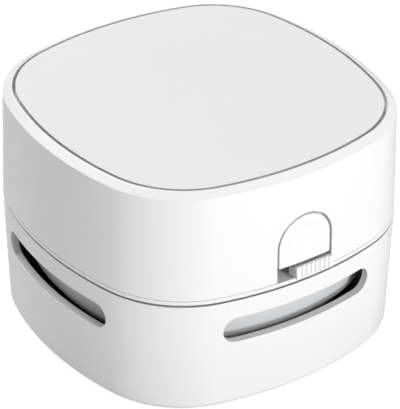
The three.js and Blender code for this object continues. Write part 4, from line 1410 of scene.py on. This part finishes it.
housing_head = rim_bottom - ear_thickness
screw_sets = [
    ("base_screw", "dust_box", counterbore_top, base_screw_length, post_places),
    ("housing_screw", "head", housing_head, housing_screw_length, ear_places),
    ("motor_screw", "head", rim_bottom, motor_screw_length, motor_screw_places),
]
for screw_name, body_name, head_top, length, places in screw_sets:
    screws = copies_at(pan_screw(length), [(x, y, head_top) for x, y in places], cross_turn, zinc_steel)
    finished(
        screw_name + "s", body_name, "screw_steel", [screws], *numbered(screw_name, len(places)))

# %% [markdown]
# ## Filter
#
# A black tray rests on the posts of the dust box. Its grid carries a disc of foam, under the inlet
# eye of the bowl.

# %% Filter tray and foam
filter_plate_top = 12.3
filter_rim_top = 12.9
filter_radius = 25.0
filter_rim = 1.8
filter_gap = 0.3
foam_round = 0.3
grid_height = 1.0
grid_bar = 1.2
grid_pitch = 12.5

tray_inset = wall + fit_gap
tray = rings_of_body("tray", [
    (lower_inset(filter_bottom) + tray_inset, filter_bottom),
    (lower_inset(filter_plate_top) + tray_inset, filter_plate_top)], closed=False)
tray_rim = plug(filter_radius + filter_rim, filter_bottom + root, filter_rim_top, sides=wide_sides)
bore = plug(filter_radius, filter_bottom - past, filter_rim_top + past, sides=wide_sides)
cut_with(tray, tray_rim, union=True)
cut_with(tray, bore)
rounded(tray, shell_round)
bars = []
grid_top = filter_bottom + grid_height
for step in (-1, 0, 1):
    place = step * grid_pitch
    run = 2 * math.sqrt((filter_radius + filter_rim / 2) ** 2 - place ** 2)
    bars.append(block(0, place, run, grid_bar, filter_bottom, grid_top))
    bars.append(block(place, 0, grid_bar, run, filter_bottom, grid_top))
bars = [rounded(bar, small_round) for bar in bars]
finished("filter_tray", "dust_box", "black_plastic", [tray, *bars], "filter_frame")

foam = plug(filter_radius - filter_gap, grid_top, filter_rim_top, sides=wide_sides)
finished("foam_disc", "dust_box", "filter_foam", [rounded(foam, foam_round)], "filter_foam")

# %% [markdown]
# ## Impeller
#
# Nine backward-curved blades stand under a disc. Each is a strip of quads along a curve whose angle
# grows with the radius, lower at the tip than at the eye. One blade is drawn and copied round.

# %% Impeller
impeller_radius = 28.0
disc_low = 23.4
disc_top = 24.4
blade_low = 16.1
blade_tip_drop = 5.04
blade_count = 9
blade_thickness = 1.0
blade_root = 6.5
blade_steps = 24
slope_step = 0.01
blade_sweep = math.pi / 4
blade_root_height = 0.3
blade_round = 0.18
disc_sides = 144
hub_radius = 4.0
hub_top = 27.0
hub_chamfer = 0.5
shaft_radius = 1.0
shaft_gap = 0.08
shaft_top = 52.15


def blade_point(share):
    radius = blade_root + (impeller_radius - blade_thickness - blade_root) * share
    angle = blade_sweep * (share ** 2 + share / 2)
    return Vector((radius * math.cos(angle), radius * math.sin(angle)))


def drawn_blade():
    top = disc_low + blade_root_height
    vertices = []
    for step in range(blade_steps + 1):
        share = step / blade_steps
        middle = blade_point(share)
        along = (blade_point(share + slope_step) - blade_point(share - slope_step)).normalized()
        across = Vector((-along.y, along.x)) * blade_thickness / 2
        outside = min(max((middle.length - eye_radius) / (impeller_radius - eye_radius), 0), 1)
        low = blade_low + (disc_low - blade_tip_drop - blade_low) * outside
        for side, height in ((across, low), (-across, low), (-across, top), (across, top)):
            vertices.append((middle.x + side.x, middle.y + side.y, height))
    faces = []
    for step in range(blade_steps):
        for side in range(4):
            here = step * 4 + side
            after = step * 4 + (side + 1) % 4
            faces.append((here, after, after + 4, here + 4))
    faces.append((0, 1, 2, 3))
    faces.append(tuple(blade_steps * 4 + side for side in range(4)))
    blade = draw("blade", vertices, faces)
    face_out(blade)
    return blade


blade = rounded(drawn_blade(), blade_round)
blade.data = copied_mesh(blade)
blade.modifiers.clear()
blades = ring_of(blade, blade_count, black_abs)
disc = plug(impeller_radius, disc_low, disc_top, sides=disc_sides)
shaft_bore = shaft_radius + shaft_gap
hub = turned("hub", [
    (shaft_bore, blade_low), (hub_radius, blade_low), (hub_radius, hub_top - hub_chamfer),
    (hub_radius - hub_chamfer, hub_top), (shaft_bore, hub_top)], mid_sides, closed=True)
impeller_parts = [rounded(disc, broad_round), rounded(hub, broad_round), blades]
finished("bladed_impeller", "fan", "black_plastic", impeller_parts, "impeller")
shaft = plug(shaft_radius, blade_low + blade_root_height, shaft_top)
finished("ground_shaft", "fan", "motor_steel", [rounded(shaft, small_round)], "motor_shaft")

# %% [markdown]
# ## Motor
#
# A small drawn-steel motor: a can with a rolled bead and four crimps that hold its black end cap,
# and a bronze bush in its nose.

# %% Motor
motor_top = 48.35
motor_cap_top = 50.55
cap_radius = 10.39
cap_chamfer = 0.4
cap_boss = 4.6
cap_well = 3.0
well_depth = 0.5
well_slope = 0.3
well_edge = 0.2
bush_top = 32.15
bush_length = 1.6
bead_low = 46.2
bead_depth = 0.3
bead_step = 0.4
nose_round = 0.7
nose_step = 0.2
crimp_size = (2.0, 2.8)
crimp_drop = 0.5
seat_reach = 3.2
vent_place = 7
vent_size = (2.4, 3.2)
vent_depth = 0.9

can = turned("can", [
    (shaft_bore, bush_top), (bush_hole, bush_top), (bush_hole, rim_top),
    (motor_radius - nose_round, rim_top), (motor_radius - nose_step, rim_top + nose_step),
    (motor_radius, rim_top + nose_round), (motor_radius, bead_low),
    (motor_radius - bead_depth, bead_low + bead_step),
    (motor_radius - bead_depth, bead_low + 2 * bead_step), (motor_radius, bead_low + 3 * bead_step),
    (motor_radius, motor_top), (shaft_bore, motor_top)], wide_sides, closed=True)
crimps = []
for turn in quarter_turns:
    crimp = block(motor_radius, 0, *crimp_size, motor_top - crimp_drop, motor_top + past)
    crimps.append(moved(crimp, (0, 0, 0), turn + math.pi / 4))
seats = [plug(post_hole, rim_top - past, rim_top + seat_reach, x, y) for x, y in motor_screw_places]
cut_with(can, *crimps, *seats)
rounded(can, edge_round)
finished("drawn_motor_can", "head", "motor_steel", [can], "motor_can")

cap = turned("cap", [
    (shaft_bore, motor_top), (cap_radius, motor_top), (cap_radius, motor_cap_top - cap_chamfer),
    (cap_radius - cap_chamfer, motor_cap_top), (cap_boss, motor_cap_top),
    (cap_boss - well_slope, motor_cap_top - well_depth), (cap_well, motor_cap_top - well_depth),
    (cap_well - well_edge, motor_cap_top), (shaft_bore, motor_cap_top)], wide_sides, closed=True)
vents = [
    block(0, sign * vent_place, *vent_size, motor_cap_top - vent_depth, motor_cap_top + past)
    for sign in signs]
cut_with(cap, *vents)
rounded(cap, edge_round)
finished("motor_end_cap", "head", "black_plastic", [cap], "motor_cap")

bush = tube(shaft_bore, bush_radius, bush_top - bush_length, bush_top, round_sides)
finished("bronze_bush", "head", "bush_bronze", [rounded(bush, small_round)], "shaft_bush")

# %% [markdown]
# ## Battery bay
#
# Two troughs either side of the motor hold the cells. The cells are plain, with a film jacket, a
# steel end and a nub, and each is pushed onto its nub contact by a conical spring.

# %% Cradle
cell_radius = 7.25
cell_place = 21.85
cell_axis = 46.25
bay_half = 28.25
cradle_skin = 1.4
cradle_low = 37.3
cradle_top = 52.27
leg_radius = 2.2
leg_share = 0.75
web_reach = 1.5
web_thickness = 1.5
trough_steps = 40


def trough(radius, half_length, top):
    outline = [
        *arc((0, cell_axis), radius, 0, -180, trough_steps), (-radius, top), (radius, top)]
    return prism("trough", outline, -half_length, half_length, "x")


inner_radius = cell_radius + fit_gap
outer_radius = inner_radius + cradle_skin
cradle, other_trough = [
    moved(trough(outer_radius, bay_half + cradle_skin, cradle_top), (0, sign * cell_place, 0))
    for sign in reversed(signs)]
web = block(
    0, 0, 2 * (motor_radius + web_reach), 2 * cell_place, cradle_low, cradle_low + web_thickness)
leg_places = corners_at(bay_half * leg_share, cell_place)
legs = [plug(leg_radius, rim_top, cradle_low + cradle_skin, x, y) for x, y in leg_places]
bays = [
    moved(trough(inner_radius, bay_half, cradle_top + past / 2), (0, sign * cell_place, 0))
    for sign in signs]
motor_hole = plug(motor_radius + motor_gap, cradle_low - past, cradle_top + past, sides=wide_sides)
cut_with(cradle, other_trough, web, *legs, union=True)
cut_with(cradle, *bays, motor_hole)
rounded(cradle, shell_round)
finished("battery_trough", "head", "cradle_white", [cradle], "battery_cradle")

# %% Cells
cell_start = -22.65
cell_end = 26.85
nub_radius = 2.75
nub_end = 27.55
seal_radius = 5.58
jacket_inside = 5.9
core_outside = 6.0
cell_smooth = 30

# Radius and height of the corners, the height counted from the end of the cell that they are near.
jacket_start = [(jacket_inside, 0.1), (cell_radius - 0.35, 0), (cell_radius, 0.35)]
jacket_end = [(cell_radius, -0.85), (cell_radius - 0.3, -0.5), (jacket_inside, -0.55)]
core_start = [(0, 0.15), (4.8, 0.15), (5.0, 0.05), (5.8, 0.05), (core_outside, 0.2)]
core_end = [
    (core_outside, -0.6), (seal_radius, -0.45), (seal_radius, -0.1), (seal_radius - 0.15, 0),
    (nub_radius + 0.25, 0), (nub_radius, 0.15)]
nub = [(nub_radius, -0.25), (nub_radius - 0.25, 0), (0, 0)]


def raised(corners, height):
    return [(radius, height + above) for radius, above in corners]


def lying(drawn, y, turn):
    """Lays a part drawn along Z onto the axis of a bay."""
    drawn.data.transform(Matrix.Rotation(math.pi / 2, 4, "Y"))
    return moved(drawn, (0, y, cell_axis), turn)


for number, sign in enumerate(signs, start=1):
    turn = 0.0 if sign > 0 else math.pi
    jacket = turned(
        "jacket", raised(jacket_start, cell_start) + raised(jacket_end, cell_end), mid_sides, closed=True)
    core = turned(
        "core", raised(core_start, cell_start) + raised(core_end, cell_end) + raised(nub, nub_end),
        mid_sides)
    core.data.polygons.foreach_set("material_index", [1] * len(core.data.polygons))
    parts = [lying(soften(part, cell_smooth), sign * cell_place, turn) for part in (jacket, core)]
    finished(
        f"cell_{number}", "head", "cell_jacket", parts, f"battery_cell_{number}",
        second_finish=nickel_plate)

# %% Contact springs
spring_start = 27.5
spring_length = 4.5
spring_wire = 0.35
spring_turns = 4.0
wide_end = 3.4
narrow_end = 2.2

for number, sign in enumerate(signs, start=1):
    spring = grown(spiral_tree, spiral_keys, {
        "Turns": spring_turns, "Start radius": wide_end, "End radius": narrow_end,
        "Length": spring_length, "Wire radius": spring_wire, "Steps per turn": 40, "Section sides": 12,
        "Material": nickel_plate})
    spring.data.transform(Matrix.Rotation(-math.pi / 2, 4, "Y"))
    moved(spring, (spring_start, 0, 0))
    moved(spring, (0, sign * cell_place, cell_axis), math.pi if sign > 0 else 0.0)
    finished(
        f"conical_spring_{number}", "head", "contact_nickel", [soften(spring, wire_smooth)],
        f"contact_spring_{number}")

# %% Switch
switch_front = fork_end + fit_gap
switch_half = 6.0
switch_depth = 5.0
switch_cover = 2.0
switch_top = stem_low + stem_height + switch_cover
lever_room = 2.7
lever_depth = 1.2

switch = box_between(
    "switch", (-switch_half, switch_front, rim_top), (switch_half, switch_front + switch_depth, switch_top))
lever_slot = box_between(
    "lever slot", (-lever_room, switch_front - past, stem_low - fit_gap),
    (lever_room, switch_front + lever_depth, stem_low + stem_height + fit_gap))
cut_with(switch, lever_slot)
finished("slide_switch", "head", "black_plastic", [rounded(switch, broad_round)], "switch_body")

# %% [markdown]
# ## Finishes of the CAD parts that stay
#
# Parts whose CAD solid is already right keep it and only get their finish, which is looked up by
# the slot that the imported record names.

# %% Finishes of kept parts
slot_of_node = {part["node"]: part["material_slot"] for part in frame["record"]["subparts"]}
for node_name, node_object in frame["nodes"].items():
    node_object.data.materials.clear()
    node_object.data.materials.append(finish_of_slot[slot_of_node[node_name]])
print(len(frame["nodes"]), "CAD parts have a finish")

# %% [markdown]
# ## Floor, background and light
#
# The photograph is a studio shot on white. The front is the brightest face, the left side is a
# third darker, and the top lies between them. Four suns with wide angles give these three tones: two
# from the front, a weaker one from the left and one from behind and above. The world gives the fill.
# Seen directly or in a reflection, floor and world are white, and the floor keeps a soft shadow.

# %% Floor
floor_half = 3000.0
floor_drop = 0.02
floor_lift = 0.8

floor = draw("floor", [
    (-floor_half, -floor_half, -floor_drop), (floor_half, -floor_half, -floor_drop),
    (floor_half, floor_half, -floor_drop), (-floor_half, floor_half, -floor_drop)], [(0, 1, 2, 3)])
floor.data.transform(Matrix.Scale(MM, 4))
white_paper, finish = start_finish(
    "white paper", {"Roughness": 0.9, "Specular IOR Level": 0.1})
tint(finish, 60.0, "#C8C8C8", "#CACACA")
tree, where, shader = finish
floor_rays = add_node(tree, "ShaderNodeLightPath")
lift = add_node(tree, "ShaderNodeEmission", {"Color": linear("#FFFFFF"), "Strength": floor_lift})
nothing = add_node(tree, "ShaderNodeEmission", {"Color": linear("#000000"), "Strength": 0.0})
seen_lift = add_node(
    tree, "ShaderNodeMixShader", None, {"Fac": floor_rays.outputs["Is Camera Ray"], 1: nothing, 2: lift})
lifted = add_node(tree, "ShaderNodeAddShader", None, {0: shader, 1: seen_lift})
paper_output = next(node for node in tree.nodes if node.type == "OUTPUT_MATERIAL")
tree.links.new(lifted.outputs["Shader"], paper_output.inputs["Surface"])
floor.data.materials.append(white_paper)

# %% Light
# Azimuth is counted from the front towards the right, elevation upwards from the table.
fill_strength = 0.18
lamps = {
    "front light": {"azimuth": 4, "elevation": 4, "strength": 2.0, "softness": 14},
    "raised light": {"azimuth": 8, "elevation": 27, "strength": 0.85, "softness": 24},
    "left light": {"azimuth": -125, "elevation": 12, "strength": 0.81, "softness": 40},
    "top light": {"azimuth": 176, "elevation": 51, "strength": 2.0, "softness": 40},
}
for lamp_name, lamp in lamps.items():
    sun_data = bpy.data.lights.new(lamp_name, "SUN")
    sun_data.energy = lamp["strength"]
    sun_data.angle = math.radians(lamp["softness"])
    sun = bpy.data.objects.new(lamp_name, sun_data)
    azimuth = math.radians(lamp["azimuth"])
    elevation = math.radians(lamp["elevation"])
    towards = Vector((
        math.sin(azimuth) * math.cos(elevation), -math.cos(azimuth) * math.cos(elevation),
        math.sin(elevation)))
    sun.rotation_mode = "QUATERNION"
    sun.rotation_quaternion = (-towards).to_track_quat("-Z", "Y")
    bpy.context.collection.objects.link(sun)

world = bpy.data.worlds.new("studio")
world.use_nodes = True
bpy.context.scene.world = world
tree = world.node_tree
tree.nodes.clear()
rays = add_node(tree, "ShaderNodeLightPath")
direct = add_node(
    tree, "ShaderNodeMath", {"operation": "MAXIMUM"},
    {0: rays.outputs["Is Camera Ray"], 1: rays.outputs["Is Glossy Ray"]})
seen = add_node(
    tree, "ShaderNodeMath", {"operation": "MAXIMUM"}, {0: direct, 1: rays.outputs["Is Transmission Ray"]})
fill = add_node(tree, "ShaderNodeBackground", {"Color": linear("#FFFFFF"), "Strength": fill_strength})
white = add_node(tree, "ShaderNodeBackground", {"Color": linear("#FFFFFF"), "Strength": 1.0})
both = add_node(tree, "ShaderNodeMixShader", None, {"Fac": seen, 1: fill, 2: white})
add_node(tree, "ShaderNodeOutputWorld", None, {"Surface": both})

view = bpy.context.scene.view_settings
view.view_transform = "Standard"
print("lamps:", ", ".join(lamps), "and a fill of", fill_strength)
